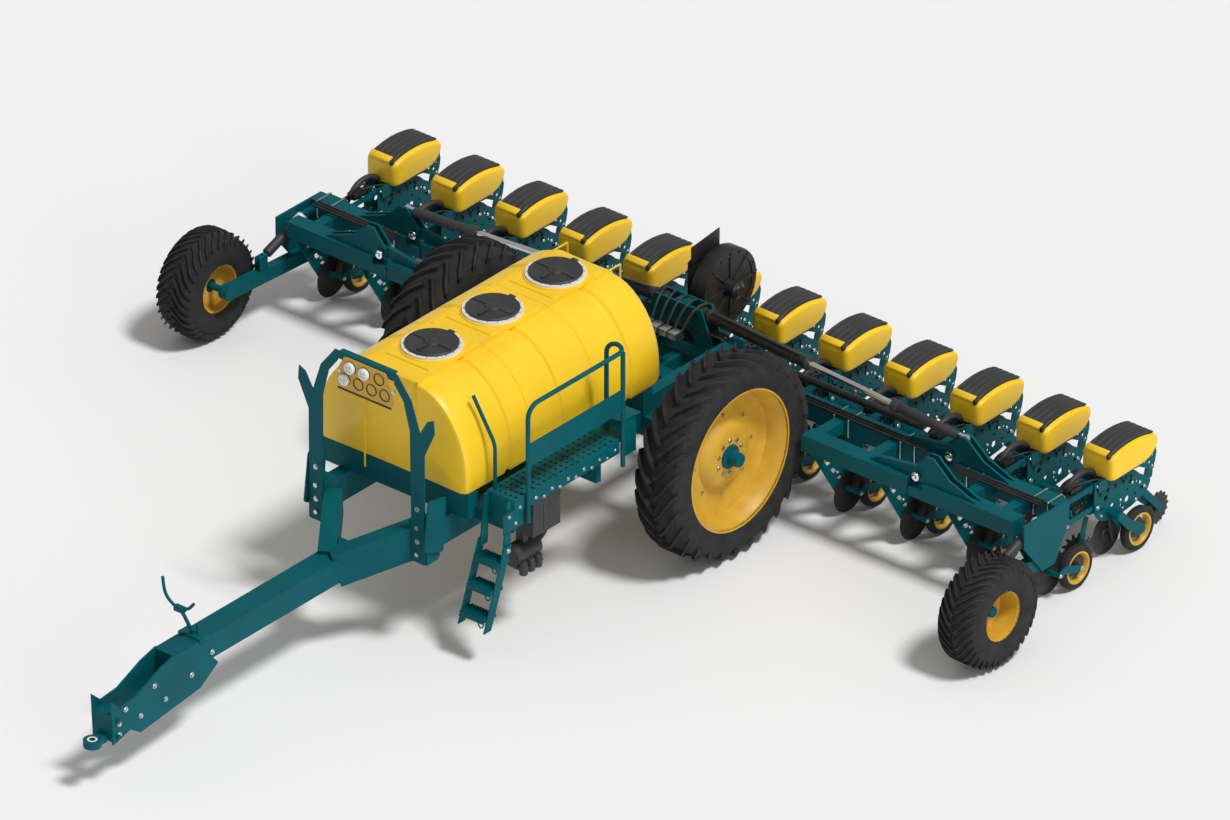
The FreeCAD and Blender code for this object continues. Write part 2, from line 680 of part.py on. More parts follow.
def guard_hoop():
    """Flat plate hoop in front of the tank, with two outward prongs."""
    front, back = BEAM_FRONT_Y - 172, BEAM_FRONT_Y - 160
    outer = [(478, 800), (615, 800), (615, 1820), (725, 2060), (715, 2180), (650, 2150), (570, 2010), (480, 2280), (330, 2470)]
    inner = [(300, 2380), (400, 2250), (465, 2000)]
    right = outer + inner
    hoop = [plate_xz(right, front, back), plate_xz([(-x, z) for x, z in right], front, back)]
    hoop.append(plate_xz([(-335, 2470), (335, 2470), (320, 2400), (-320, 2400)], front, back))
    return fuse(hoop)


def coupler_board():
    """Hose coupler board on the hoop with three couplers and four parking holes."""
    front = BEAM_FRONT_Y - 182
    outline = [(-200, 2440), (200, 2440), (310, 2290), (240, 2160), (-240, 2160), (-310, 2290)]
    board = plate_xz(outline, front, front + 10)
    places = [(x, 2365) for x in (-150, 0, 150)] + [(x, 2240) for x in (-210, -70, 70, 210)]
    holes = [rod(vec(x, front - 20, z), vec(x, front + 20, z), 40) for x, z in places]
    couplers = []
    for x, z in (places[0], places[1], places[3]):
        couplers.append(rod(vec(x, front - 50, z), vec(x, front + 10, z), 39.9))
    return [board.cut(holes)] + couplers


TANK_OUTLINE = [(290, TANK_TOP), (450, 2120), (590, 1980), (730, 1720), (800, 1520), (800, TANK_BOTTOM)]


def tank_body(inset):
    half = []
    for x, z in TANK_OUTLINE:
        up = inset if z == TANK_BOTTOM else -inset
        half.append((x - inset, z + up))
    outline = half + [(-x, z) for x, z in half[::-1]]
    return plate_xz(outline, TANK_FRONT_Y + inset, TANK_REAR_Y - inset)


def tank():
    """Hollow moulded tank with three round filling necks."""
    shell = tank_body(0)
    necks = [rod(vec(0, y, TANK_TOP - 20), vec(0, y, TANK_TOP + 20), HATCH_RING_R + 20) for y in HATCHES_Y]
    shell = fuse([shell] + necks).cut(tank_body(TANK_WALL))
    mouths = [rod(vec(0, y, TANK_TOP - 100), vec(0, y, TANK_TOP + 100), HATCH_R) for y in HATCHES_Y]
    return shell.cut(mouths)


NECK_TOP = TANK_TOP + 20


def hatch_rings():
    half = HATCH_RING_T / 2
    return [ring(vec(0, y, NECK_TOP + half), Z, HATCH_RING_R, HATCH_R, HATCH_RING_T) for y in HATCHES_Y]


def hatch_lid(y):
    """Round lid with a raised rim, a centre knob and a hinge lug at its rear edge."""
    low = NECK_TOP + HATCH_RING_T + 0.3
    cover = rod(vec(0, y, low), vec(0, y, low + 14), HATCH_R + 12)
    knob = rod(vec(0, y, low + 14), vec(0, y, low + 34), 40)
    bar = box(-160, 160, y - 12, y + 12, low + 14, low + 24)
    lug = box(-30, 30, y + HATCH_R, y + HATCH_RING_R + 5, low, low + 14)
    return fuse([cover, knob, bar, lug])


def tank_straps():
    """Hold-down straps over the tank and their hook bolts on the front saddle."""
    straps = []
    front = TANK_FRONT_Y - 6.3
    top = TANK_TOP + 0.3
    for x in (-282, 282):
        along = box(x - 8, x + 8, front, TANK_REAR_Y + 6.3, top, top + 6)
        down = box(x - 8, x + 8, front, front + 6, TANK_BOTTOM - 100, top)
        behind = box(x - 8, x + 8, TANK_REAR_Y + 0.3, TANK_REAR_Y + 6.3, TANK_BOTTOM - 100, top)
        straps.append(fuse([along, down, behind]))
    return straps


def platform():
    """Side deck with its posts, hand rails, guard board and hangers."""
    deck = box(DECK_X0, DECK_X1 - 42, DECK_Y0, DECK_Y1, DECK_Z - 30, DECK_Z)
    holes = []
    for i in range(5):
        for j in range(18):
            place = vec(DECK_X0 + 40 + i * 55, DECK_Y0 + 60 + j * 70, DECK_Z - 40)
            holes.append(Part.makeCylinder(14, 60, place))
    deck = deck.cut(holes)
    r = 20
    x = DECK_X1 - r
    front, rear = DECK_Y0 + 150, DECK_Y1 + 80
    rail = pipe_path([vec(x, front, 1130), vec(x, front, 2200), vec(x, rear, 2200), vec(DECK_X0 + 90, rear, 2200), vec(DECK_X0 + 90, rear, DECK_Z)], r, 120)
    post = rod(vec(x, rear - 60, 1130), vec(x, rear - 60, 2190), r)
    grab_y = DECK_Y0 + 80
    grab = pipe_path([vec(880, grab_y, DECK_Z), vec(880, grab_y, 1780), vec(650, grab_y, 2150)], 16, 200)
    board = box(x - 4, x + 4, front, rear - 60, 1640, 1850)
    tray = box(DECK_X0, DECK_X1 - 40, DECK_Y1, DECK_Y1 + 100, DECK_Z - 30, DECK_Z)
    hangers = [box(BEAM_X + BEAM_W / 2, DECK_X0 + 140, y - 30, y + 30, BEAM_TOP - 120, BEAM_TOP - 40) for y in (-2200, -1150)]
    struts = [box(DECK_X0 + 140, DECK_X0 + 200, y - 30, y + 30, BEAM_TOP - 120, DECK_Z - 30) for y in (-2200, -1150)]
    return [deck, tray, fuse([rail, post, board]), grab] + hangers + struts


LADDER_Y = -2390.0
LADDER_Z = 950.0
LADDER_PIN_R = 10.0


def ladder():
    """Folding lower ladder: two side plates and three pierced steps."""
    shapes = []
    foot_y, foot_z = -2650, 300
    for x in (DECK_X0 + 12, DECK_X1 - 52):
        side = [(LADDER_Y - 45, LADDER_Z + 40), (LADDER_Y + 45, LADDER_Z + 40), (foot_y + 45, foot_z), (foot_y - 45, foot_z)]
        shapes.append(plate_yz(side, x - 6, x + 6))
    for i in range(3):
        share = (i + 0.5) / 3
        y = LADDER_Y + (foot_y - LADDER_Y) * share
        z = LADDER_Z + (foot_z - LADDER_Z) * share
        shapes.append(box(DECK_X0 + 12, DECK_X1 - 52, y - 70, y + 70, z - 10, z + 10))
    for x, inward in ((DECK_X0 + 12, 1), (DECK_X1 - 52, -1)):
        shapes.append(rod(vec(x, LADDER_Y, LADDER_Z), vec(x + inward * 34, LADDER_Y, LADDER_Z), LADDER_PIN_R))
    return fuse(shapes)


def ladder_stringers():
    """Fixed upper side plates from the deck's front edge down to the ladder's pivot."""
    shapes = []
    for x in (DECK_X0 + 12 + 6 + SIDE_GAP + 6, DECK_X1 - 52 - 6 - SIDE_GAP - 6):
        side = [(DECK_Y0 - 0, DECK_Z), (DECK_Y0 - 0, DECK_Z - 30), (LADDER_Y + 45, LADDER_Z - 30), (LADDER_Y - 45, LADDER_Z - 30), (DECK_Y0 - 60, DECK_Z)]
        hole = rod(vec(x - 20, LADDER_Y, LADDER_Z), vec(x + 20, LADDER_Y, LADDER_Z), LADDER_PIN_R + PIN_FIT)
        shapes.append(plate_yz(side, x - 6, x + 6).cut(hole))
    return shapes


def tool_box():
    """Moulded black box and the pump with its filter under the deck."""
    lid = box(880, 1145, -2080, -1740, 930, 1250)
    strap = box(990, 1040, -1940, -1880, 1250, BEAM_TOP + 220)
    pump = rod(vec(960, -2150, 720), vec(960, -1850, 720), 90)
    bracket = box(920, 1000, -2030, -1970, 805, 930)
    return [fuse([lid, strap]), fuse([pump, bracket])]


def tower():
    """Two upright plates behind the tank that carry the fold cylinders."""
    plates = []
    for y in (REAR_TUBE_Y - TOWER_HALF - 20, REAR_TUBE_Y + TOWER_HALF):
        outline = [(-430, TUBE_TOP), (-250, FOLD_ROOT_Z + 60), (250, FOLD_ROOT_Z + 60), (430, TUBE_TOP), (280, TUBE_TOP), (120, 1130), (-120, 1130), (-280, TUBE_TOP)]
        plate = plate_xz(outline, y, y + 20)
        holes = [rod(vec(s * FOLD_ROOT_X, y - 50, FOLD_ROOT_Z), vec(s * FOLD_ROOT_X, y + 50, FOLD_ROOT_Z), PIN_R + PIN_FIT) for s in (-1, 1)]
        plates.append(plate.cut(holes))
    plates.append(box(-60, 60, REAR_TUBE_Y - TOWER_HALF, REAR_TUBE_Y + TOWER_HALF, 1150, 1330))
    return fuse(plates)


def fold_line(side):
    start = vec(side * FOLD_ROOT_X, REAR_TUBE_Y, FOLD_ROOT_Z)
    end = vec(side * (HINGE_X + LUG_OUT), REAR_TUBE_Y, HINGE_Z + LUG_UP)
    return start, end, (end - start).normalize()


def fold_barrel(side):
    start, end, along = fold_line(side)
    tube = rod(start + along * 60, start + along * 1130, FOLD_BARREL_R)
    bore = rod(start + along * 110, start + along * 1100, FOLD_ROD_R + 8)
    gland = rod(start + along * 1090, start + along * 1140, FOLD_ROD_R + PIN_FIT)
    eye = rod(start - Y * 35, start + Y * 35, 50)
    neck = rod(start, start + along * 80, 34)
    pin = rod(start - Y * 84, start + Y * 84, PIN_R)
    return fuse([tube.cut(bore), eye, neck, pin]).cut(gland)


def fold_rod(side):
    start, end, along = fold_line(side)
    bar = rod(start + along * 520, end - along * 195, FOLD_ROD_R)
    tongue = beam(end - along * 200, end, 36, 60)
    piston = rod(start + along * 520, start + along * 560, FOLD_ROD_R + 7.95)
    eye = rod(end - Y * 20, end + Y * 20, 40)
    link = rod(end - along * 700, end - along * 195, 38)
    return fuse([bar, piston, eye, link, tongue])


def fan_housing():
    """Vacuum fan: round housing, side outlet and motor, on a post from the toolbar."""
    centre = vec(0, 1700, 1250)
    drum = rod(centre - X * 70, centre + X * 70, 300)
    rim = ring(centre, X, 330, 290, 30)
    motor = rod(centre + X * 70, centre + X * 190, 70)
    outlet = box(-60, 60, 1640, 1900, 1250, 1640)
    post = box(-50, 50, REAR_TUBE_Y + TUBE / 2, 1460, 800, 860)
    upright = box(-50, 50, 1400, 1460, 800, 1250)
    return fuse([drum, rim, motor, outlet, post, upright])


def fasteners():
    """Flange bolts of the drawbar arms and the hoop."""
    heads = []
    face = BEAM_FRONT_Y - 172
    for side in (-1, 1):
        for z in (880, 1130):
            heads.append(rod(vec(side * BEAM_X, face - 16, z), vec(side * BEAM_X, face, z), 20))
    return heads


# ---- write every sub-part ------------------------------------------------------------
def main():
    for section, rows in SECTIONS.items():
        write_section(section, rows)
    write("main_frame", main_frame())
    write("drawbar", [drawbar()])
    write("hitch_eye", [hitch_eye()])
    write("parking_jack", [parking_jack()])
    write("hose_holder", [hose_holder()])
    write("guard_hoop", [guard_hoop()])
    write("coupler_board", coupler_board())
    write("tank", [tank()])
    write("tank_straps", tank_straps())
    write("hatch_rings", hatch_rings())
    for name, y in zip(("front", "middle", "rear"), HATCHES_Y):
        write(f"hatch_lid_{name}", [hatch_lid(y)])
    write("platform", platform() + ladder_stringers())
    write("ladder", [ladder()])
    write("tool_box", tool_box())
    write("tower", [tower()])
    write("fan_housing", [fan_housing()])
    write("fasteners", fasteners())
    for name, side in (("left", -1), ("right", 1)):
        tyre, rim = main_wheel(side)
        write(f"main_tyre_{name}", [tyre])
        write(f"main_rim_{name}", [rim])
        write(f"wing_{name}", wing(side))
        write(f"wing_arm_{name}", wing_arm(side))
        write(f"wing_wheel_{name}", wing_wheel(side))
        write(f"fold_barrel_{name}", [fold_barrel(side)])
        write(f"fold_rod_{name}", [fold_rod(side)])


main()
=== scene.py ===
# %% [markdown]
# # A twelve-row corn planter
# The machine arrives from CAD with every steel part in its true place. This lesson
# gives it looks: moulded plastic, treaded tyres, dished rims, hoses, bolts and paint.
# The first cell loads the frame and reads the main axle's place from the right rim's box.

# %% Load the frame
import bpy
import math
from mathutils import Matrix, Vector


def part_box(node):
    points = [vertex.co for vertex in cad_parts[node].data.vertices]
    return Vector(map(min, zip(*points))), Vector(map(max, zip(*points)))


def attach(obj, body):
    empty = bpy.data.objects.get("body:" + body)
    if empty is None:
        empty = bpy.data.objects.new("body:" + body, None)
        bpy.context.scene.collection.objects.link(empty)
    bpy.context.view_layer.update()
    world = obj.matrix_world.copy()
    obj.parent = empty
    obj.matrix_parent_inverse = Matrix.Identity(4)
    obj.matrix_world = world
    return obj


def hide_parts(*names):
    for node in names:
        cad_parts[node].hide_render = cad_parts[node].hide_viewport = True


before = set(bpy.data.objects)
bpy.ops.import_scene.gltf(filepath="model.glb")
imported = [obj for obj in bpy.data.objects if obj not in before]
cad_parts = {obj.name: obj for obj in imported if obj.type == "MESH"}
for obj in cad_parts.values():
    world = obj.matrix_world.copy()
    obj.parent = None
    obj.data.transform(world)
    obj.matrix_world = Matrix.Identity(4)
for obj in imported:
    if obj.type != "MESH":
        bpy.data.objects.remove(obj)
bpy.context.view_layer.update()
AXLE = (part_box("main_rim_right")[0][1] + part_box("main_rim_right")[1][1]) / 2

# %% [markdown]
# ## Small helpers
# Everything is modelled with the same operators that a person clicks: add a primitive,
# shape it, apply it. A finished piece keeps its object at the origin, so its place is
# baked into its mesh. Repeats are made from one master whose mesh is copied.

# %% Helpers for adding, placing and joining
ROW_SPACING = 0.7
SECTIONS = {"left": [-3.85, -3.15], "right": [3.15, 3.85]}
SECTIONS["centre"] = [(i - 3.5) * ROW_SPACING for i in range(8)]
CARRIER = {"left": "wing_left", "centre": "chassis", "right": "wing_right"}


def clear():
    bpy.ops.object.select_all(action="DESELECT")


def bevel_edges(width):
    """Rounds every edge of the active piece a little."""
    bpy.ops.object.mode_set(mode="EDIT")
    bpy.ops.mesh.select_all(action="SELECT")
    bpy.ops.mesh.bevel(offset=width, segments=2, affect="EDGES")
    bpy.ops.object.mode_set(mode="OBJECT")


def face_outwards(merge=0.0):
    """Merges doubles, turns the faces outwards, and leaves edit mode."""
    bpy.ops.mesh.select_all(action="SELECT")
    if merge:
        bpy.ops.mesh.remove_doubles(threshold=merge)
    bpy.ops.mesh.normals_make_consistent(inside=False)
    bpy.ops.object.mode_set(mode="OBJECT")


def smooth(degrees):
    """Smooth shading, with edges kept sharp past an angle."""
    bpy.ops.object.shade_smooth_by_angle(angle=math.radians(degrees))


def settle(name):
    """Names the active object and bakes its place into its mesh."""
    piece = bpy.context.object
    clear()
    piece.select_set(True)
    bpy.context.view_layer.objects.active = piece
    bpy.ops.object.transform_apply(location=True, rotation=True, scale=True)
    piece.name = name
    piece.data.name = name
    return piece


def block(name, low, high, bevel=0.0):
    """A box with softened edges between two corners."""
    clear()
    middle = [(a + b) / 2 for a, b in zip(low, high)]
    size = [b - a for a, b in zip(low, high)]
    bpy.ops.mesh.primitive_cube_add(size=1, location=middle, scale=size)
    piece = settle(name)
    if bevel:
        bevel_edges(bevel)
        smooth(40)
    return piece


def bar(name, start, end, radius, sides=20, bevel=0.0):
    """A round bar between two points."""
    clear()
    start, end = Vector(start), Vector(end)
    along = end - start
    turn = along.to_track_quat("Z", "Y").to_euler()
    bpy.ops.mesh.primitive_cylinder_add(vertices=sides, radius=radius, depth=along.length,
        location=(start + end) / 2, rotation=turn)
    piece = settle(name)
    if bevel:
        bevel_edges(bevel)
    smooth(35)
    return piece


def turned(name, profile, centre, steps=64):
    """Spins a closed outline of (along X, radius) points about the X axis."""
    clear()
    bpy.ops.mesh.primitive_circle_add(vertices=len(profile), radius=1)
    piece = bpy.context.object
    for vertex, (along, radius) in zip(piece.data.vertices, profile):
        vertex.co = (along, radius, 0)
    bpy.ops.object.mode_set(mode="EDIT")
    bpy.ops.mesh.select_all(action="SELECT")
    bpy.ops.mesh.spin(steps=steps, angle=math.tau, center=(0, 0, 0), axis=(1, 0, 0))
    face_outwards(0.0001)
    piece.location = centre
    piece = settle(name)
    smooth(32)
    return piece


def hose(name, points, radius, cyclic=False, sides=4):
    """A bent pipe or hose through the points, as a mesh."""
    clear()
    bpy.ops.curve.primitive_nurbs_path_add()
    curve = bpy.context.object
    curve.data.splines.clear()
    spline = curve.data.splines.new("NURBS")
    spline.points.add(len(points) - 1)
    for point, place in zip(spline.points, points):
        point.co = (*place, 1)
    spline.order_u = 3
    spline.use_endpoint_u = not cyclic
    spline.use_cyclic_u = cyclic
    curve.data.bevel_depth = radius
    curve.data.bevel_resolution = sides
    curve.data.resolution_u = 6
    curve.data.use_fill_caps = True
    bpy.ops.object.convert(target="MESH")
    piece = settle(name)
    smooth(50)
    return piece


def plate(name, outline, low, high, axis="x"):
    """A flat plate cut to an outline of (y, z) points, or (x, z) points with axis y."""
    clear()
    bpy.ops.mesh.primitive_circle_add(vertices=len(outline), radius=1, fill_type="NGON")
    piece = bpy.context.object
    for vertex, (a, b) in zip(piece.data.vertices, outline):
        vertex.co = (low, a, b) if axis == "x" else (a, low, b)
    step = (high - low, 0, 0) if axis == "x" else (0, high - low, 0)
    bpy.ops.object.mode_set(mode="EDIT")
    bpy.ops.mesh.select_all(action="SELECT")
    bpy.ops.mesh.extrude_region_move(TRANSFORM_OT_translate={"value": step})
    face_outwards()
    return settle(name)


def copy_of(piece, matrix):
    """A copy of a piece with its own mesh, moved by a matrix."""
    twin = piece.copy()
    twin.data = piece.data.copy()
    bpy.context.collection.objects.link(twin)
    twin.data.transform(matrix)
    return twin


def join(name, pieces):
    """Several pieces made one."""
    clear()
    for piece in pieces:
        piece.select_set(True)
    bpy.context.view_layer.objects.active = pieces[0]
    if len(pieces) > 1:
        bpy.ops.object.join()
    piece = bpy.context.object
    piece.name = name
    piece.data.name = name
    return piece


def repeat(name, master, matrices, keep=False):
    """Copies a master to each matrix, joins the copies, and drops the master."""
    whole = join(name, [copy_of(master, m) for m in matrices])
    if not keep:
        bpy.data.objects.remove(master)
    return whole


def shift(x=0.0, y=0.0, z=0.0):
    return Matrix.Translation((x, y, z))


def at(x, y, z):
    """A point given from the main axle, in the frame."""
    return (x, y + AXLE, z)


def put(x, y, z):
    """A move to a point given from the main axle."""
    return Matrix.Translation(at(x, y, z))


def facing(side):
    """Leaves what was made towards +X, or turns it round for the left side."""
    return Matrix.Rotation(0 if side > 0 else math.pi, 4, "Z")


def bolt_head(name="bolt_head", radius=0.014, height=0.01):
    """A six-sided head that points along +X, with its washer."""
    washer = bar("washer", (0, 0, 0), (height * 0.3, 0, 0), radius * 1.35, 16)
    head = bar("head", (height * 0.3, 0, 0), (height, 0, 0), radius, 6)
    return join(name, [washer, head])


print("helpers ready")

# %% [markdown]
# ## Finishes
# Each finish is a small node tree on object coordinates. Paint has a slight orange-peel
# bump and a broken-up gloss, moulded plastic a finer grain, rubber is dull with
# dusty patches. A plain colour never stays alone.

# %% Paints, plastics, rubber and metals
FINISHES = {}


def finish(name, colour, dark, rough, metal=0.0, scale=6.0, grain=180.0, bump=0.04, coat=0.0,
    spread=0.12, shine=0.5):
    """A finish with broad colour patches, a broken gloss and a fine grain."""
    material = bpy.data.materials.new(name)
    material.use_nodes = True
    nodes, links = material.node_tree.nodes, material.node_tree.links
    shader = nodes["Principled BSDF"]
    place = nodes.new("ShaderNodeTexCoord")
    patches = nodes.new("ShaderNodeTexNoise")
    patches.inputs["Scale"].default_value = scale
    patches.inputs["Detail"].default_value = 6
    blend = nodes.new("ShaderNodeValToRGB")
    blend.color_ramp.elements[0].position = 0.32
    blend.color_ramp.elements[1].position = 0.62
    blend.color_ramp.elements[0].color = (*dark, 1)
    blend.color_ramp.elements[1].color = (*colour, 1)
    gloss = nodes.new("ShaderNodeMapRange")
    gloss.inputs["To Min"].default_value = max(rough - spread, 0.03)
    gloss.inputs["To Max"].default_value = min(rough + spread, 1.0)
    fine = nodes.new("ShaderNodeTexNoise")
    fine.inputs["Scale"].default_value = grain
    fine.inputs["Detail"].default_value = 3
    relief = nodes.new("ShaderNodeBump")
    relief.inputs["Strength"].default_value = bump
    relief.inputs["Distance"].default_value = 0.002
    links.new(place.outputs["Object"], patches.inputs["Vector"])
    links.new(place.outputs["Object"], fine.inputs["Vector"])
    links.new(patches.outputs["Fac"], blend.inputs["Fac"])
    links.new(blend.outputs["Color"], shader.inputs["Base Color"])
    links.new(patches.outputs["Fac"], gloss.inputs["Value"])
    links.new(gloss.outputs["Result"], shader.inputs["Roughness"])
    links.new(fine.outputs["Fac"], relief.inputs["Height"])
    links.new(relief.outputs["Normal"], shader.inputs["Normal"])
    shader.inputs["Metallic"].default_value = metal
    shader.inputs["Specular IOR Level"].default_value = shine
    shader.inputs["Coat Weight"].default_value = coat
    shader.inputs["Coat Roughness"].default_value = 0.2
    FINISHES[name] = material
    return material


TEAL = finish("teal_paint", (0.0, 0.098, 0.118), (0.0, 0.082, 0.1), 0.5, scale=3, bump=0.06, shine=0.12)
YELLOW = finish("yellow_moulding", (0.93, 0.6, 0.016), (0.88, 0.55, 0.013), 0.42, scale=2, grain=260,
    bump=0.05)
RIM = finish("rim_paint", (0.64, 0.37, 0.03), (0.56, 0.31, 0.025), 0.45, scale=7, bump=0.06)
BLACK = finish("black_moulding", (0.034, 0.034, 0.036), (0.026, 0.026, 0.028), 0.55, scale=9,
    grain=320, bump=0.12)
STEEL_BLACK = finish("black_steel", (0.018, 0.018, 0.019), (0.03, 0.029, 0.028), 0.42, scale=14,
    bump=0.1, metal=0.3)
RUBBER = finish("tyre_rubber", (0.03, 0.03, 0.03), (0.019, 0.019, 0.019), 0.75, scale=11, grain=140,
    bump=0.25, shine=0.2)
HOSE = finish("hose_rubber", (0.012, 0.012, 0.013), (0.02, 0.02, 0.02), 0.55, scale=20, grain=240,
    bump=0.1)
CHROME = finish("hard_chrome", (0.82, 0.83, 0.85), (0.7, 0.71, 0.73), 0.14, metal=1.0, bump=0.01,
    spread=0.06)
ZINC = finish("zinc_plate", (0.62, 0.62, 0.6), (0.45, 0.45, 0.43), 0.34, metal=1.0, scale=60, bump=0.08)
WHITE = finish("white_plastic", (0.78, 0.78, 0.76), (0.68, 0.68, 0.66), 0.45, scale=12, bump=0.05)


def dress(piece, material):
    """Gives a whole piece one finish."""
    piece.data.materials.clear()
    piece.data.materials.append(material)
    for face in piece.data.polygons:
        face.material_index = 0
    return piece


def dress_node(node, material):
    """Changes the finish of a CAD node, and leaves its mesh alone."""
    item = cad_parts[node]
    if not item.material_slots:
        item.data.materials.append(material)
    for place in item.material_slots:
        place.material = material


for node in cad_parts:
    dress_node(node, TEAL)
for node in ("tank_straps", "coupler_board"):
    dress_node(node, YELLOW)
for node in ("tool_box", "hatch_lid_front", "hatch_lid_middle", "hatch_lid_rear"):
    dress_node(node, BLACK)
for node in ("parking_jack", "fan_housing", "fold_barrel_left", "fold_barrel_right"):
    dress_node(node, STEEL_BLACK)
for section in SECTIONS:
    dress_node(section + "_opener_discs", STEEL_BLACK)
    dress_node(section + "_closing_wheels", STEEL_BLACK)
for node in ("fold_rod_left", "fold_rod_right"):
    dress_node(node, CHROME)
dress_node("fasteners", ZINC)
dress_node("hatch_rings", WHITE)
print(len(FINISHES), "finishes on", len(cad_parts), "nodes")

# %% [markdown]
# ## The liquid tank
# The real tank is one rotational moulding: a flat ridge, round shoulders, steep sides and
# a domed back. A ring of points is given the cross-section, then extruded along the tank.
# Every station has its own small swell, which makes the sunk bands between the panels.

# %% Tank shell
TANK_LOW, TANK_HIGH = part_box("tank")
RIDGE_HALF = 0.29
TANK_HALF = TANK_HIGH[0]
TANK_BASE = TANK_LOW[2]
RIDGE_Z = TANK_HIGH[2] - 0.02
SHOULDER_Z = 1.55


def tank_section():
    """Half section from the ridge edge down to the base, then mirrored."""
    half = [(0.0, RIDGE_Z), (RIDGE_HALF * 0.6, RIDGE_Z), (RIDGE_HALF - 0.004, RIDGE_Z),
        (RIDGE_HALF, RIDGE_Z - 0.022)]
    for i in range(1, 11):
        t = i / 10 * math.pi / 2
        x = RIDGE_HALF + (TANK_HALF - RIDGE_HALF) * math.sin(t)
        z = SHOULDER_Z + (RIDGE_Z - 0.022 - SHOULDER_Z) * (1 - (1 - math.cos(t)) ** 0.9)
        half.append((x, z))
    half += [(TANK_HALF, TANK_BASE + 0.05), (TANK_HALF - 0.02, TANK_BASE + 0.012),
        (TANK_HALF - 0.06, TANK_BASE)]
    half.append((0.0, TANK_BASE))
    return half + [(-x, z) for x, z in half[-2:0:-1]]


def tank_station(section, swell, y):
    """The section moved out or in by a swell and set at a place along the tank."""
    middle_z = (RIDGE_Z + TANK_BASE) / 2
    ring = []
    for x, z in section:
        reach = Vector((x, z - middle_z)).length
        grow = 1 + swell / reach
        ring.append((x * grow, y, middle_z + (z - middle_z) * grow))
    return ring


def tank_stations():
    """(place, swell) along the tank: front edge, sunk bands, thin seams, domed back."""
    front, back = TANK_LOW[1], TANK_HIGH[1]
    line = [(front + 0.001, -0.05), (front + 0.012, -0.02), (front + 0.04, -0.004),
        (front + 0.07, -0.002)]
    for band in (AXLE - 1.96, AXLE - 1.31, AXLE - 0.44):
        line += [(band - 0.05, 0.0), (band - 0.046, -0.026), (band + 0.012, -0.02), (band + 0.03, 0.0)]
    for seam in (AXLE - 1.68, AXLE - 0.86):
        line += [(seam - 0.007, -0.002), (seam, -0.012), (seam + 0.007, -0.002)]
    line += [(back - 0.16, -0.002), (back - 0.12, -0.012), (back - 0.07, -0.045), (back - 0.03, -0.1),
        (back - 0.004, -0.2)]
    return sorted(line)


def loft(name, rings, sharp=30):
    """A closed skin over rings of points: a grid wrapped round, its ends gathered."""
    clear()
    around, along = len(rings[0]), len(rings)
    bpy.ops.mesh.primitive_grid_add(x_subdivisions=around, y_subdivisions=along + 1, size=1)
    piece = bpy.context.object
    ends = [[sum(axis) / around for axis in zip(*ring)] for ring in (rings[0], rings[-1])]
    rows = [[ends[0]] * around] + rings + [[ends[1]] * around]
    for row, ring in enumerate(rows):
        for column in range(around + 1):
            piece.data.vertices[row * (around + 1) + column].co = ring[column % around]
    bpy.ops.object.mode_set(mode="EDIT")
    face_outwards(0.00005)
    piece = settle(name)
    smooth(sharp)
    return piece


section = tank_section()
tank = loft("tank_shell", [tank_station(section, swell, y) for y, swell in tank_stations()])
dress(tank, YELLOW)
parts = [tank]
HATCH_Y = [sum(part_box(f"hatch_lid_{n}")[i][1] for i in (0, 1)) / 2 - 0.0155 for n in ("front",
    "middle", "rear")]
NECK_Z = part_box("hatch_rings")[0][2]
PANEL = ((-0.24, 0.33), (0.24, 0.33), (0.285, 0.0), (0.24, -0.33), (-0.24, -0.33), (-0.285, 0.0))
for y in HATCH_Y:
    neck = bar("neck", (0, y, RIDGE_Z - 0.02), (0, y, NECK_Z), 0.27, 48, bevel=0.006)
    clear()
    bpy.ops.mesh.primitive_circle_add(vertices=6, radius=1, fill_type="NGON")
    raised = bpy.context.object
    for vertex, (dx, dy) in zip(raised.data.vertices, PANEL):
        vertex.co = (dx, y + dy * 0.97, RIDGE_Z - 0.01)
    bpy.ops.object.mode_set(mode="EDIT")
    bpy.ops.mesh.select_all(action="SELECT")
    bpy.ops.mesh.extrude_region_move(TRANSFORM_OT_translate={"value": (0, 0, 0.02)})
    bpy.ops.transform.resize(value=(0.96, 0.97, 1))
    face_outwards()
    raised = settle("raised_panel")
    parts += [neck, raised]
tank = join("tank_shell", [dress(p, YELLOW) for p in parts])
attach(tank, "chassis")
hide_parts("tank")
print("tank faces", len(tank.data.polygons), "hatches at", [round(y, 3) for y in HATCH_Y])

# %% [markdown]
# ## Straps, hatch rings and lids
# The white clamp rings carry a circle of tiny screws. Each lid has a raised rim, a centre
# knob, a cross rib and a grip. They ride on their own hinge, so an open lid takes its details along.

# %% Hatches
RING_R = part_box("hatch_rings")[1][0]
LID_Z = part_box("hatch_lid_front")[0][2]
screw = bar("screw", (RING_R - 0.018, 0, 0), (RING_R - 0.018, 0, 0.006), 0.006, 6)
screw_master = repeat("ring_screws", screw, [Matrix.Rotation(math.tau * i / 18, 4,
    "Z") for i in range(18)])
screws = repeat("hatch_ring_screws", screw_master, [shift(y=y, z=LID_Z - 0.0005) for y in HATCH_Y])
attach(dress(screws, ZINC), "chassis")


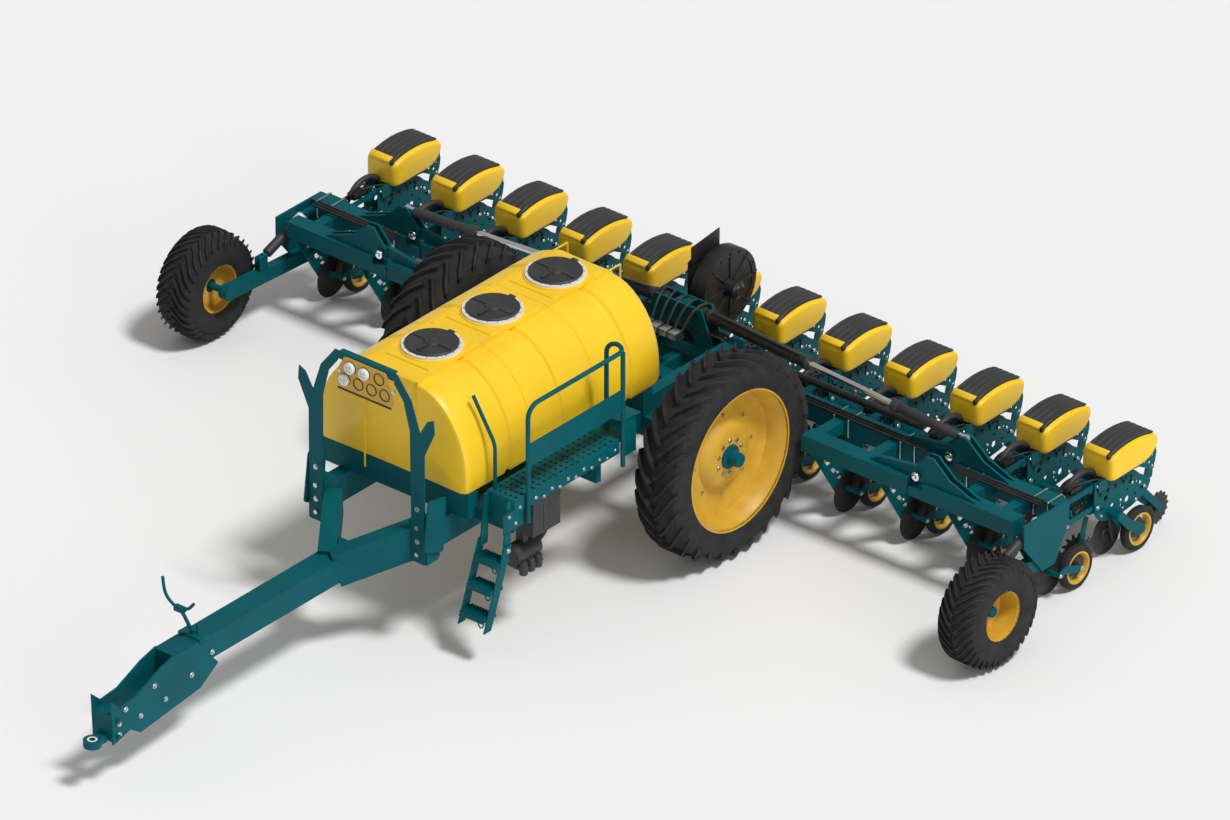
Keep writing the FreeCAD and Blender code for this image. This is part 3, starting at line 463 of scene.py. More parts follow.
def hatch_dome(name, y, base):
    """The visible lid: a shallow dish with a rolled edge, a knob, a rib and a grip."""
    profile = [(0.0, 0.0), (0.0, 0.222), (0.012, 0.226), (0.02, 0.218), (0.014, 0.205), (0.016, 0.07),
        (0.03, 0.06), (0.03, 0.0)]
    dish = turned("dish", profile, (0, 0, 0), 48)
    dish.data.transform(Matrix.Translation((0, y, base)) @ Matrix.Rotation(-math.pi / 2, 4, "Y"))
    knob = bar("knob", (0, y, base + 0.025), (0, y, base + 0.034), 0.034, 20, bevel=0.004)
    ribs = [block("rib", (-0.2, y - 0.012, base + 0.012), (0.2, y + 0.012, base + 0.024), 0.004)]
    ribs.append(block("grip", (-0.014, y - 0.18, base + 0.012), (0.014, y - 0.07, base + 0.03), 0.004))
    hinge = block("hinge", (-0.03, y + 0.2, base), (0.03, y + 0.256, base + 0.014), 0.003)
    whole = join(name, [dish, knob, hinge] + ribs)
    smooth(35)
    return dress(whole, BLACK)


for name, y in zip(("front", "middle", "rear"), HATCH_Y):
    lid = hatch_dome(f"hatch_{name}_dish", y, LID_Z + 0.0005)
    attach(lid, f"hatch_{name}")
    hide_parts(f"hatch_lid_{name}")
print("hatch lids at z", round(LID_Z, 3))

# %% [markdown]
# ## Tall drive wheels
# A farm tyre is a plain carcass with slanted bars that meet in chevrons. The carcass is
# spun from its section. One bar is modelled on the tread, then copied round both sides.

# %% Tyres
def lug_ring(name, radius, width, count, depth, lean, reach, thick):
    """Slanted tread bars on both halves of the tread, as one mesh about the X axis."""
    lugs = []
    for half in (-1, 1):
        ring = []
        steps = 6
        for i in range(steps + 1):
            t = i / steps
            x = half * (0.01 + (width / 2 - 0.012) * t)
            angle = lean * (t ** 1.25)
            drop = 0.0 if t < 0.62 else (t - 0.62) ** 2 * reach
            outer, inner = radius - drop, radius - depth - drop - 0.012
            wide = thick / radius * (1 + 0.35 * t)
            corners = []
            for edge, r in ((-1, inner), (-0.72, outer), (0.72, outer), (1, inner)):
                a = angle + edge * wide / 2
                corners.append((x, r * math.sin(a), r * math.cos(a)))
            ring.append(corners)
        lug = loft("lug", ring, 25)
        offset = 0.0 if half < 0 else math.pi / count
        turns = [Matrix.Rotation(math.tau * i / count + offset, 4, "X") for i in range(count)]
        lugs.append(repeat("lugs", lug, turns))
    return join(name, lugs)


def tyre(name, side, centre, radius, width, rim, count, depth, lean, thick):
    """A carcass with bulging walls, and its tread bars."""
    half, bead = width / 2, width / 2 - 0.02
    face = radius - depth
    wall = [(-bead, rim), (-half + 0.004, rim + 0.05), (-half, rim + (face - rim) * 0.45),
        (-half + 0.006, face - 0.07)]
    wall += [(-half + 0.03, face - 0.022), (-half * 0.5, face - 0.004)]
    profile = wall + [(-a, r) for a, r in wall[::-1]]
    body = turned(name, profile, (0, 0, 0), 96)
    tread = lug_ring("tread", radius - 0.001, width, count, depth, lean, 0.35, thick)
    tread.data.transform(facing(side))
    whole = join(name, [body, tread])
    whole.data.transform(Matrix.Translation(centre))
    return dress(whole, RUBBER)


def bolt_circle(name, centre, side, radius, count, size):
    """A ring of bolt heads on the outer face of a wheel."""
    head = bolt_head("head", size, size * 0.8)
    head.data.transform(facing(side))
    head.data.transform(shift(z=radius))
    circle = repeat(name, head, [Matrix.Rotation(math.tau * i / count, 4, "X") for i in range(count)])
    circle.data.transform(Matrix.Translation(centre))
    return circle


def box_size(node):
    """The sizes of a CAD node's box along X, Y and Z."""
    return [b - a for a, b in zip(*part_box(node))]


WHEEL_R = box_size("main_tyre_right")[2] / 2
WHEEL_W = box_size("main_tyre_right")[0]
RIM_R = box_size("main_rim_right")[2] / 2
TREAD_BARS = 29
for label, side in (("left", -1), ("right", 1)):
    middle = sum(corner[0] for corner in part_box(f"main_tyre_{label}")) / 2
    centre = (middle, AXLE, WHEEL_R)
    rubber = tyre(f"main_tread_{label}", side, centre, WHEEL_R, WHEEL_W, RIM_R, TREAD_BARS, 0.045,
        0.3, 0.038)
    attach(rubber, f"main_wheel_{label}")
    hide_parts(f"main_tyre_{label}")
    r = RIM_R
    out = [(0.2, r), (0.2, r + 0.02), (0.188, r + 0.02), (0.182, r - 0.012), (0.15, r - 0.03),
        (0.1, r - 0.06), (0.03, r - 0.075), (0.015, r - 0.11), (0.0, r - 0.2), (0.012, 0.31),
        (0.06, 0.27), (0.085, 0.2), (0.085, 0.1)]
    back = [(-0.05, 0.1), (-0.05, 0.25), (-0.03, r - 0.16), (-0.02, r - 0.09), (-0.15, r - 0.04),
        (-0.18, r - 0.02), (-0.188, r + 0.02), (-0.2, r + 0.02), (-0.2, r)]
    dish = turned(f"main_dish_{label}", [(side * a, b) for a, b in out + back], centre, 96)
    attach(dress(dish, RIM), f"main_wheel_{label}")
    hub_profile = [(0.086, 0.0), (0.086, 0.105), (0.1, 0.105), (0.112, 0.07), (0.17, 0.062),
        (0.2, 0.058), (0.206, 0.045), (0.206, 0.0)]
    hub = turned(f"main_hub_{label}", [(side * a, b) for a, b in hub_profile], centre, 40)
    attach(dress(hub, TEAL), f"main_wheel_{label}")
    studs = bolt_circle(f"main_studs_{label}", (middle + side * 0.086, AXLE, WHEEL_R), side, 0.15, 10,
        0.014)
    rim_bolts = bolt_circle("rim_bolts", (middle + side * 0.008, AXLE, WHEEL_R), side, 0.36, 8, 0.012)
    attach(dress(join(f"main_studs_{label}", [studs, rim_bolts]), ZINC), f"main_wheel_{label}")
    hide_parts(f"main_rim_{label}")
print("main wheel radius", round(WHEEL_R, 3), "tread bars a side", TREAD_BARS)

# %% [markdown]
# ## Wing wheels
# The small flotation tyres at the wing ends have many thin, strongly curved bars and a
# deep-dish rim with a teal hub.

# %% Wing wheels
WING_RIM_R = 0.215
WING_TREAD_BARS = 34
for label, side in (("left", -1), ("right", 1)):
    low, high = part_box(f"wing_wheel_{label}")
    middle = (low[0] + high[0]) / 2
    width, _, radius = box_size(f"wing_wheel_{label}")
    radius /= 2
    centre = (middle, AXLE, radius)
    rubber = tyre(f"wing_tread_{label}", side, centre, radius, width, WING_RIM_R, WING_TREAD_BARS,
        0.02, 0.42, 0.026)
    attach(rubber, f"wing_wheel_{label}")
    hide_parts(f"wing_wheel_{label}")
    h = width / 2
    profile = [(h - 0.02, WING_RIM_R), (h - 0.02, 0.235), (h - 0.03, 0.235), (h - 0.035, 0.205),
        (h - 0.09, 0.195), (h - 0.2, 0.185), (h - 0.22, 0.16), (h - 0.225, 0.06), (h - 0.24, 0.06),
        (h - 0.245, 0.19), (-h + 0.03, 0.2), (-h + 0.02, 0.235), (-h + 0.02, WING_RIM_R)]
    dish = turned(f"wing_dish_{label}", [(side * a, b) for a, b in profile], centre, 64)
    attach(dress(dish, RIM), f"wing_wheel_{label}")
    hub_profile = [(h - 0.224, 0.032), (h - 0.224, 0.075), (h - 0.2, 0.072), (h - 0.17, 0.05),
        (h - 0.12, 0.046), (h - 0.114, 0.032)]
    hub = turned(f"wing_hub_{label}", [(side * a, b) for a, b in hub_profile], centre, 32)
    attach(dress(hub, TEAL), f"wing_wheel_{label}")
    studs = bolt_circle(f"wing_studs_{label}", (middle + side * (h - 0.222), AXLE, radius), side, 0.1,
        6, 0.011)
    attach(dress(studs, ZINC), f"wing_wheel_{label}")
print("wing wheels done")

# %% [markdown]
# ## Seed hoppers
# A hopper is a moulding with soft edges all round, arched on top, with a dark grooved lid
# and a yellow grip along the lid's front. One side view is drawn, its corners softened,
# and the shape is built across the row from stations that pull in near the sides.

# %% Hopper and lid
HOPPER_MIDDLE = 2.115


def soften(outline, cut, steps=5):
    """Rounds every corner of an outline with a short curve."""
    points = []
    for i, corner in enumerate(outline):
        before, after = Vector(outline[i - 1]), Vector(outline[(i + 1) % len(outline)])
        here = Vector(corner)
        start = here + (before - here).normalized() * min(cut, (before - here).length * 0.45)
        end = here + (after - here).normalized() * min(cut, (after - here).length * 0.45)
        for k in range(steps + 1):
            t = k / steps
            points.append(tuple(start * (1 - t) ** 2 + here * 2 * t * (1 - t) + end * t ** 2))
    return points


def crown(y):
    """Height of the hopper's arched top, y counted from the main axle."""
    return 1.05 - 0.58 * (y - HOPPER_MIDDLE) ** 2


def pulled_in(outline, inset):
    """An outline drawn towards its middle by a distance."""
    middle = Vector((sum(p[0] for p in outline), sum(p[1] for p in outline))) / len(outline)
    points = []
    for point in outline:
        away = Vector(point) - middle
        points.append(tuple(middle + away * (1 - inset / away.length)))
    return points


def across(outline, stations):
    """Rings of an outline at (x, inset) stations, moved into the frame."""
    rings = []
    for x, inset in stations:
        rings.append([(x, a + AXLE, b) for a, b in pulled_in(outline, inset)])
    return rings


side_view = [(1.832, 0.875), (1.836, 0.79), (1.87, 0.776), (2.27, 0.776), (2.39, 0.815), (2.452, 0.9),
    (2.452, 0.965)]
side_view += [(y, crown(y) - 0.008) for y in (2.4, 2.3, 2.2, 2.1, 2.0, 1.92)] + [(1.86,
    crown(1.86) - 0.012), (1.833, 0.975)]
side_view = soften(side_view, 0.05, 4)
edge = [(-0.165, 0.05), (-0.163, 0.034), (-0.156, 0.019), (-0.144, 0.008), (-0.128, 0.002), (-0.1, 0.0)]
stations = edge + [(-x, inset) for x, inset in edge[::-1]]
hopper = dress(loft("hopper", across(side_view, stations), 40), YELLOW)
seam = [block("seam", (-0.167, AXLE + 1.95, 0.90), (-0.163, AXLE + 2.34, 0.906), 0.0015)]
hopper = join("hopper", [hopper] + [dress(p, YELLOW) for p in seam])

slats = []
for i in range(31):
    x = -0.128 + 0.256 * i / 30
    groove = 0.0 if i in (0, 30) else (0.006 if i % 7 in (3, 4) else 0.014)
    slats.append((x, groove))
rings = []
for x, lift in slats:
    low = [(x, y + AXLE, crown(y) - 0.002) for y in (1.868, 1.92, 2.0, 2.1, 2.2, 2.3, 2.37, 2.41)]
    ys = (2.41, 2.37, 2.3, 2.2, 2.1, 2.0, 1.92, 1.868)
    high = [(x, y + AXLE, crown(y) + 0.004 + (lift if 1.9 < y < 2.4 else lift * 0.4)) for y in ys]
    rings.append(low + high)
lid = dress(loft("lid", rings, 50), BLACK)
latch = dress(block("latch", (0.103, AXLE + 1.828, 0.985), (0.13, AXLE + 1.87, 1.03), 0.004), BLACK)
rim = [block("lid_rim", (-0.132, AXLE + 1.87, 1.008), (-0.127, AXLE + 1.9, 1.02), 0.001)]
lid = join("lid", [lid, latch] + [dress(p, BLACK) for p in rim])
grip_rings = []
for x in (-0.13, -0.126, 0.092, 0.096):
    swell = 0.004 if abs(x) > 0.128 or x > 0.094 else 0.0
    outline = soften([(1.836 + swell, 0.99), (1.89, 1.012), (1.892, 1.036 - swell),
        (1.872, 1.042 - swell), (1.836 + swell, 1.012)], 0.006, 2)
    grip_rings.append([(x, a + AXLE, b) for a, b in outline])
grip = dress(loft("grip", grip_rings, 40), YELLOW)
for name, rows in SECTIONS.items():
    places = [shift(x=x) for x in rows]
    shells = repeat(f"{name}_hopper_shells", hopper, places, keep=True)
    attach(shells, f"{name}_rows")
    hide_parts(f"{name}_hoppers")
    covers = repeat(f"{name}_lid_covers", lid, places, keep=True)
    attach(covers, f"{name}_hopper_lids")
    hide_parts(f"{name}_hopper_lids")
    grips = repeat(f"{name}_lid_grips", grip, places, keep=True)
    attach(grips, f"{name}_hopper_lids")
for master in (hopper, lid, grip):
    bpy.data.objects.remove(master)
print("hoppers on", sum(len(r) for r in SECTIONS.values()), "rows")

# %% [markdown]
# ## Depth wheels and fertiliser wheels
# Narrow black tyres on open yellow ring rims, with a dark five-sided web. The same wheel runs beside the
# seed discs and beside the fertiliser discs.

# %% Narrow wheels
DEPTH_R = 0.195
DEPTH_X = 0.14


def narrow_wheel(prefix, radius, width, rim):
    """A tyre with a crowned tread, a ring rim, and a web with its hub, about the origin."""
    h = width / 2
    wall = [(-h * 0.7, rim), (-h, rim + 0.012), (-h, radius - 0.018), (-h * 0.6, radius - 0.004),
        (0, radius)]
    tyre_ring = turned(prefix + "_tyre", wall + [(-a, r) for a, r in wall[-2::-1]], (0, 0, 0), 48)
    ring_profile = [(-h * 0.95, rim - 0.012), (-h * 0.95, rim + 0.004), (h * 0.95, rim + 0.004),
        (h * 0.95, rim - 0.012), (h * 0.8, rim - 0.016), (0.006, rim - 0.03), (-0.006, rim - 0.03),
        (-h * 0.8, rim - 0.016)]
    ring = turned("ring", ring_profile, (0, 0, 0), 48)
    web = turned("web", [(-0.004, 0.035), (-0.004, rim - 0.04), (0.004, rim - 0.04), (0.004, 0.035)],
        (0, 0, 0), 5)
    hub = bar("hub", (-0.03, 0, 0), (0.03, 0, 0), 0.042, 24, bevel=0.004)
    hub = dress(join(prefix + "_hub", [web, hub]), STEEL_BLACK)
    return dress(tyre_ring, RUBBER), dress(join(prefix + "_rim", [ring]), RIM), hub


tyre_master, rim_master, hub_master = narrow_wheel("depth", DEPTH_R, 0.076, 0.14)
cap_master = dress(bolt_head("cap", 0.016, 0.03), ZINC)
for name, rows in SECTIONS.items():
    parent = CARRIER[name]
    depth = [shift(x + DEPTH_X, AXLE + 2.2, DEPTH_R) for x in rows]
    rubber = repeat(f"{name}_depth_tyres", tyre_master, depth, keep=True)
    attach(rubber, f"{name}_depth_wheels")
    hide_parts(f"{name}_depth_wheels")
    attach(repeat(f"{name}_depth_rims", rim_master, depth, keep=True), f"{name}_depth_wheels")
    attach(repeat(f"{name}_depth_hubs", hub_master, depth, keep=True), f"{name}_depth_wheels")
    beside = [shift(x + 0.15, AXLE + 1.38, DEPTH_R) for x in rows]
    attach(repeat(f"{name}_feeder_hubs", hub_master, beside, keep=True), parent)
    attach(repeat(f"{name}_feeder_tyres", tyre_master, beside, keep=True), parent)
    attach(repeat(f"{name}_feeder_rims", rim_master, beside, keep=True), parent)
    caps = repeat(f"{name}_wheel_caps", cap_master, [m @ shift(x=0.04) for m in beside], keep=True)
    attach(caps, parent)
for master in (tyre_master, rim_master, hub_master, cap_master):
    bpy.data.objects.remove(master)
print("narrow wheels done")

# %% [markdown]
# ## Row unit details
# Between the hopper and the soil a row unit is crowded: a black meter with its vacuum
# hose, coil springs, pierced plates, a spiked row cleaner, a depth handle and many bolts.
# One set of each finish is modelled at x = 0 and copied to the rows of each section.

# %% Meter, hose, springs, cleaner and handle
def side_plate(name, outline, low, high, soft=0.0, steps=3):
    """A plate across X, drawn from the main axle, with its corners softened."""
    points = [(y + AXLE, z) for y, z in outline]
    return plate(name, soften(points, soft, steps) if soft else points, low, high)


def spiked_disc(name, radius, inner, teeth, thick):
    """A flat wheel with swept teeth, about the X axis."""
    outline = []
    for i in range(teeth):
        for share, r in ((0.0, inner), (0.35, radius * 0.97), (0.5, radius), (0.62, radius * 0.97),
            (0.7, inner)):
            angle = math.tau * (i + share) / teeth
            outline.append((r * math.cos(angle), r * math.sin(angle)))
    disc = plate(name, outline, -thick / 2, thick / 2)
    hub = bar("hub", (-0.02, 0, 0), (0.02, 0, 0), 0.035, 20, bevel=0.004)
    return join(name, [disc, hub])


def spring(name, start, end, radius, wire, turns):
    """A coil spring between two points."""
    start, end = Vector(start), Vector(end)
    along = (end - start).normalized()
    side = along.cross(Vector((1, 0, 0))).normalized()
    other = along.cross(side)
    points = []
    for i in range(turns * 8 + 1):
        angle = math.tau * i / 8
        centre = start.lerp(end, i / (turns * 8))
        points.append(tuple(centre + (side * math.cos(angle) + other * math.sin(angle)) * radius))
    return hose(name, points, wire, sides=1)


def row_black():
    """Meter cover, vacuum hose, seed tube, drive cover and their clips."""
    shell = turned("meter", [(-0.058, 0.0), (-0.058, 0.06), (-0.064, 0.064), (-0.064, 0.1),
        (-0.05, 0.106), (0.05, 0.106), (0.062, 0.1), (0.062, 0.045), (0.075, 0.04), (0.075, 0.0)],
        at(0, 1.995, 0.66), 32)
    vac = hose("vacuum", [at(-0.02, 1.93, 0.7), at(-0.03, 1.86, 0.8), at(-0.035, 1.74, 0.875),
        at(-0.04, 1.6, 0.87), at(-0.045, 1.5, 0.79), at(-0.05, 1.44, 0.72)], 0.026)
    rings = []
    for i in range(3):
        x, y, z = -0.03 - 0.006 * i, 1.845 - 0.05 * i, 0.81 + 0.022 * i
        rings.append(bar("ring", at(x, y, z), at(x, y - 0.01, z + 0.008), 0.029, 20))
    tube = hose("seed_tube", [at(-0.005, 1.99, 0.56), at(-0.004, 1.99, 0.4), at(-0.003, 2.02, 0.22),
        at(-0.002, 2.07, 0.06)], 0.017)
    cover = block("drive", at(-0.1, 1.9, 0.55), at(-0.08, 2.06, 0.76), 0.012)
    neck = block("neck", at(-0.05, 1.93, 0.74), at(0.05, 2.06, 0.785), 0.01)
    wire = hose("harness", [at(0.05, 1.9, 0.74), at(0.07, 1.75, 0.83), at(0.06, 1.55, 0.86),
        at(0.05, 1.4, 0.9)], 0.007)
    return dress(join("row_black", [shell, vac, tube, cover, neck, wire] + rings), BLACK)


def row_cleaner():
    """Two spiked wheels in front of the seed discs."""
    wheels = []
    for side in (-1, 1):
        wheel = spiked_disc("cleaner", 0.15, 0.105, 13, 0.006)
        lean = Matrix.Rotation(side * math.radians(12), 4, "Z")
        wheel.data.transform(put(side * 0.06, 1.63, 0.165) @ lean)
        wheels.append(wheel)
    return dress(join("row_cleaner", wheels), STEEL_BLACK)


def row_teal():
    """Cleaner arm, handle quadrant, spring seats and the closing wheel fork."""
    arm = [(1.60, 0.14), (1.66, 0.14), (1.75, 0.44), (1.70, 0.46)]
    parts = [side_plate("cleaner_arm", arm, -0.02, -0.008, 0.015)]
    teeth = [(2.4, 0.49), (2.43, 0.61)]
    for i in range(7):
        a = math.radians(100 - i * 14)
        for r in (0.058, 0.072):
            teeth.append((2.46 + r * math.cos(a), 0.56 + r * math.sin(a)))
    parts.append(side_plate("quadrant", teeth + [(2.52, 0.5)], 0.03, 0.038))
    parts.append(bar("tube", at(-0.085, 2.1, 0.64), at(0.085, 2.1, 0.64), 0.02, 16))
    fork = [(2.3, 0.47), (2.36, 0.5), (2.66, 0.17), (2.62, 0.12)]
    ear = [(1.74, 0.8), (1.86, 0.8), (1.9, 0.77), (1.84, 0.7), (1.74, 0.7)]
    for side in (-1, 1):
        parts.append(side_plate("fork", fork, 0.002 + side * 0.05, 0.01 + side * 0.05, 0.02))
        parts.append(side_plate("ear", ear, side * 0.093, side * 0.093 + 0.008, 0.015))
    return dress(join("row_teal", parts), TEAL)


ROW_BOLTS = [(1.8, 0.74), (1.8, 0.46), (1.95, 0.42), (2.08, 0.41), (2.25, 0.42), (2.36, 0.5),
    (2.2, 0.6), (2.3, 0.56), (2.05, 0.5)]


def row_bright():
    """Bolts on the side plates and the depth handle's rod."""
    head = bolt_head("row_bolt", 0.011, 0.009)
    places = []
    for side in (-1, 1):
        for y, z in ROW_BOLTS:
            places.append(put(side * 0.082, y, z) @ facing(side))
    bolts = repeat("row_bolts", head, places)
    handle = hose("handle", [at(0.034, 2.5, 0.58), at(0.034, 2.52, 0.7), at(0.034, 2.535, 0.79),
        at(0.034, 2.56, 0.83), at(0.034, 2.535, 0.86), at(0.034, 2.52, 0.83), at(0.034, 2.53, 0.79)],
        0.0045, sides=2)
    return dress(join("row_bright", [bolts, handle]), ZINC)


def row_levers():
    """Thin upright levers with ball grips behind the hopper, and the meter's dark clips."""
    levers = []
    for x, y, top in ((-0.06, 2.47, 0.83), (0.085, 2.49, 0.88)):
        levers.append(hose("lever", [at(x, y - 0.02, 0.62), at(x, y, 0.74), at(x, y + 0.01, top)],
            0.005, sides=2))
        levers.append(turned("ball", [(-0.012, 0.0), (-0.009, 0.009), (0.0, 0.012), (0.009, 0.009),
            (0.012, 0.0)], at(x, y + 0.01, top), 12))
    for i in range(5):
        levers.append(block("clip", at(-0.09, 1.78 + 0.09 * i, 0.8 - 0.02 * (i % 2)),
            at(-0.06, 1.82 + 0.09 * i, 0.84), 0.004))
        levers.append(bar("stud", at(0.082, 1.79 + 0.1 * i, 0.66), at(0.094, 1.79 + 0.1 * i, 0.66),
            0.014, 12))
    return dress(join("row_levers", levers), STEEL_BLACK)


masters = [("black_parts", row_black(), "rows"), ("cleaners", row_cleaner(), "rows"),
    ("teal_parts", row_teal(), "rows"), ("bright_parts", row_bright(), "rows"),
    ("levers", row_levers(), "rows")]
coil = dress(spring("coil", at(0.0, 1.42, 0.6), at(0.0, 1.68, 0.615), 0.024, 0.006, 7), STEEL_BLACK)
masters.append(("springs", coil, "lower_arms"))
seat = dress(block("seat", at(-0.05, 1.44, 0.585), at(0.05, 1.46, 0.645), 0.003), TEAL)
masters.append(("spring_seats", seat, "lower_arms"))
motor = block("motor", at(-0.045, 1.45, 0.775), at(0.045, 1.6, 0.835), 0.012)
loop = hose("loop_hose", [at(0.03, 1.4, 0.84), at(0.08, 1.44, 0.93), at(0.08, 1.56, 0.93),
    at(0.02, 1.62, 0.8)], 0.01)
masters.append(("motors", dress(join("motor", [motor, loop]), STEEL_BLACK), "upper_arms"))
pins = []
for y in (1.345, 1.745):
    for side in (-1, 1):
        pin = bolt_head("pin", 0.015, 0.014)
        pin.data.transform(put(side * 0.084, y, 0.0) @ facing(side))
        pins.append(pin)
pin_master = dress(join("pins", pins), ZINC)
for kind, height in (("lower_arms", 0.56), ("upper_arms", 0.76)):
    masters.append(("pin_heads", copy_of(pin_master, shift(z=height)), kind))
bpy.data.objects.remove(pin_master)
for label, master, body in masters:
    for name, rows in SECTIONS.items():
        piece = repeat(f"{name}_{body}_{label}", master, [shift(x=x) for x in rows], keep=True)
        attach(piece, f"{name}_{body}")
    bpy.data.objects.remove(master)
print("row details done")

# %% Pierced side plates
def pierced(name, outline, middle, half, soft, holes):
    """A side plate with real round holes, from (y, z, radius) places."""
    sheet = side_plate(name, outline, middle - half, middle + half, soft)
    reach = half + 0.02
    cutter = join("cutter", [bar("cutter", at(middle - reach, y, z), at(middle + reach, y, z), r,
        14) for y, z, r in holes])
    cut = sheet.modifiers.new("holes", "BOOLEAN")
    cut.operation, cut.object, cut.solver = "DIFFERENCE", cutter, "EXACT"
    clear()
    sheet.select_set(True)
    bpy.context.view_layer.objects.active = sheet
    bpy.ops.object.modifier_apply(modifier=cut.name)
    bpy.data.objects.remove(cutter)
    return sheet


CHEEK = [(1.71, 0.52), (1.76, 0.44), (1.83, 0.395), (2.03, 0.365), (2.2, 0.38), (2.39, 0.425),
    (2.45, 0.52), (2.36, 0.6), (2.3, 0.64), (2.24, 0.7), (2.1, 0.74), (1.9, 0.79), (1.71, 0.8)]
HOLES = [(1.83, 0.7, 0.02), (1.9, 0.72, 0.014), (1.86, 0.6, 0.026), (1.95, 0.5, 0.024),
    (2.06, 0.45, 0.014), (2.14, 0.47, 0.03), (2.24, 0.48, 0.014), (2.12, 0.68, 0.014),
    (2.18, 0.62, 0.022), (2.27, 0.58, 0.014), (2.33, 0.5, 0.02), (2.14, 0.56, 0.012),
    (1.8, 0.52, 0.016), (2.4, 0.47, 0.012), (1.9, 0.44, 0.012), (2.0, 0.73, 0.012), (2.06, 0.7, 0.012)]
frame_parts = [pierced("cheek", CHEEK, side * 0.075, 0.006, 0.02, HOLES) for side in (-1, 1)]
frame_parts.append(block("floor", at(-0.069, 1.845, 0.54), at(0.069, 2.165, 0.56), 0.003))
leg = [(1.93, 0.54), (2.05, 0.54), (2.03, 0.17), (1.94, 0.15)]
frame_parts.append(side_plate("leg", leg, -0.03, -0.012, 0.02))
closing = [(2.22, 0.47), (2.28, 0.51), (2.66, 0.19), (2.66, 0.13), (2.6, 0.12)]
frame_parts.append(side_plate("closing", closing, -0.02, 0.0, 0.02))
depth_arm = [(1.86, 0.46), (1.94, 0.48), (2.05, 0.36), (2.21, 0.25), (2.25, 0.19), (2.2, 0.155),
    (2.15, 0.17), (2.0, 0.29)]
for low in (0.081, 0.184):
    frame_parts.append(side_plate("depth_arm", depth_arm, low, low + 0.014, 0.02))
frame_parts.append(bar("arm_boss", at(0.08, 1.9, 0.44), at(0.2, 1.9, 0.44), 0.03, 20, bevel=0.004))
seat_holes = [(1.99 + 0.06 * i, 0.78 + 0.012 * (i % 2), 0.014) for i in range(6)]
bracket = [(1.84, 0.8), (1.86, 0.76), (2.26, 0.73), (2.38, 0.66), (2.47, 0.68), (2.49, 0.78),
    (2.47, 0.84), (2.4, 0.79), (2.3, 0.8)]
seat_holes += [(2.4, 0.71, 0.014), (2.44, 0.76, 0.012), (2.34, 0.74, 0.012)]
for side in (-1, 1):
    frame_parts.append(pierced("seat_plate", bracket, side * 0.1, 0.004, 0.015, seat_holes))
row_plates = dress(join("row_plates", frame_parts), TEAL)
for name, rows in SECTIONS.items():
    piece = repeat(f"{name}_row_plates", row_plates, [shift(x=x) for x in rows], keep=True)
    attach(piece, f"{name}_rows")
    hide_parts(f"{name}_row_frames")
print("row plate faces each", len(row_plates.data.polygons))
bpy.data.objects.remove(row_plates)

# %% [markdown]
# ## Toolbar details
# Bolts hold the row brackets, hoses run along the toolbar, and steel lines feed the fold
# cylinders. The big chrome-headed pins mark the wing hinges.

# %% Hinge pins, bracket bolts, hoses
HINGE = (2.88, 0.93)
for label, side in (("left", -1), ("right", 1)):
    heads = []
    for y in (0.76, 1.19):
        for face in (-1, 1):
            start = at(side * HINGE[0], y + face * 0.06, HINGE[1])
            heads.append(bar("pin_head", start, (start[0], start[1] + face * 0.022, start[2]), 0.04,
                24, bevel=0.006))
            heads.append(bar("pin_end", start, (start[0], start[1] + face * 0.036, start[2]), 0.018, 6))
    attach(dress(join(f"wing_{label}_pin_heads", heads), CHROME), f"wing_{label}")
for name, rows in SECTIONS.items():
    parent = CARRIER[name]
    head = bolt_head("bracket_bolt", 0.016, 0.014)
    head.data.transform(Matrix.Rotation(math.pi / 2, 4, "Z"))
    nut = copy_of(head, put(0, 1.285, 0))
    places = [shift(x=x + dx, z=z) for x in rows for dx in (-0.088, 0.088) for z in (0.7, 0.86, 0.54)]
    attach(dress(repeat(f"{name}_bracket_bolts", nut, places), ZINC), parent)
    bpy.data.objects.remove(head)
    clamps = []
    for x in rows:
        for dx in (-0.075, 0.075):
            clamps.append(hose("clamp", [at(x + dx, 1.29, 0.886), at(x + dx, 1.11, 0.887),
                at(x + dx, 1.108, 0.88), at(x + dx, 1.109, 0.73), at(x + dx, 1.112, 0.723),
                at(x + dx, 1.27, 0.723)], 0.007, sides=2))
    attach(dress(join(f"{name}_u_bolts", clamps), ZINC), parent)
lines = []
for i in range(3):
    y = 1.12 + 0.035 * i
    lines.append(hose("line", [at(-2.65, y, 0.892), at(-1.5, y, 0.893), at(-0.75, y + 0.01, 0.9),
        at(-0.5, y, 1.15), at(-0.38, y, 1.148), at(0.38, y, 1.148), at(0.5, y, 1.15),
        at(0.75, y + 0.01, 0.9), at(1.5, y, 0.893), at(2.65, y, 0.892)], 0.011))
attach(dress(join("toolbar_hoses", lines), HOSE), "chassis")
for label, side in (("left", -1), ("right", 1)):
    loops = []
    for i in range(3):
        y = 1.02 + 0.035 * i
        loops.append(hose("loop", [at(side * 3.0, y, 0.892), at(side * 3.3, y, 0.9),
            at(side * 3.62, y, 0.895), at(side * 3.9, y, 0.9)], 0.011))
    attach(dress(join(f"wing_{label}_hoses", loops), HOSE), f"wing_{label}")
print("toolbar details done")

# %% [markdown]
# ## Fertiliser openers
# Each hangs under the front of the toolbar: a slotted teal hanger, a plain black disc and
# a narrow wheel beside it on a curved arm.

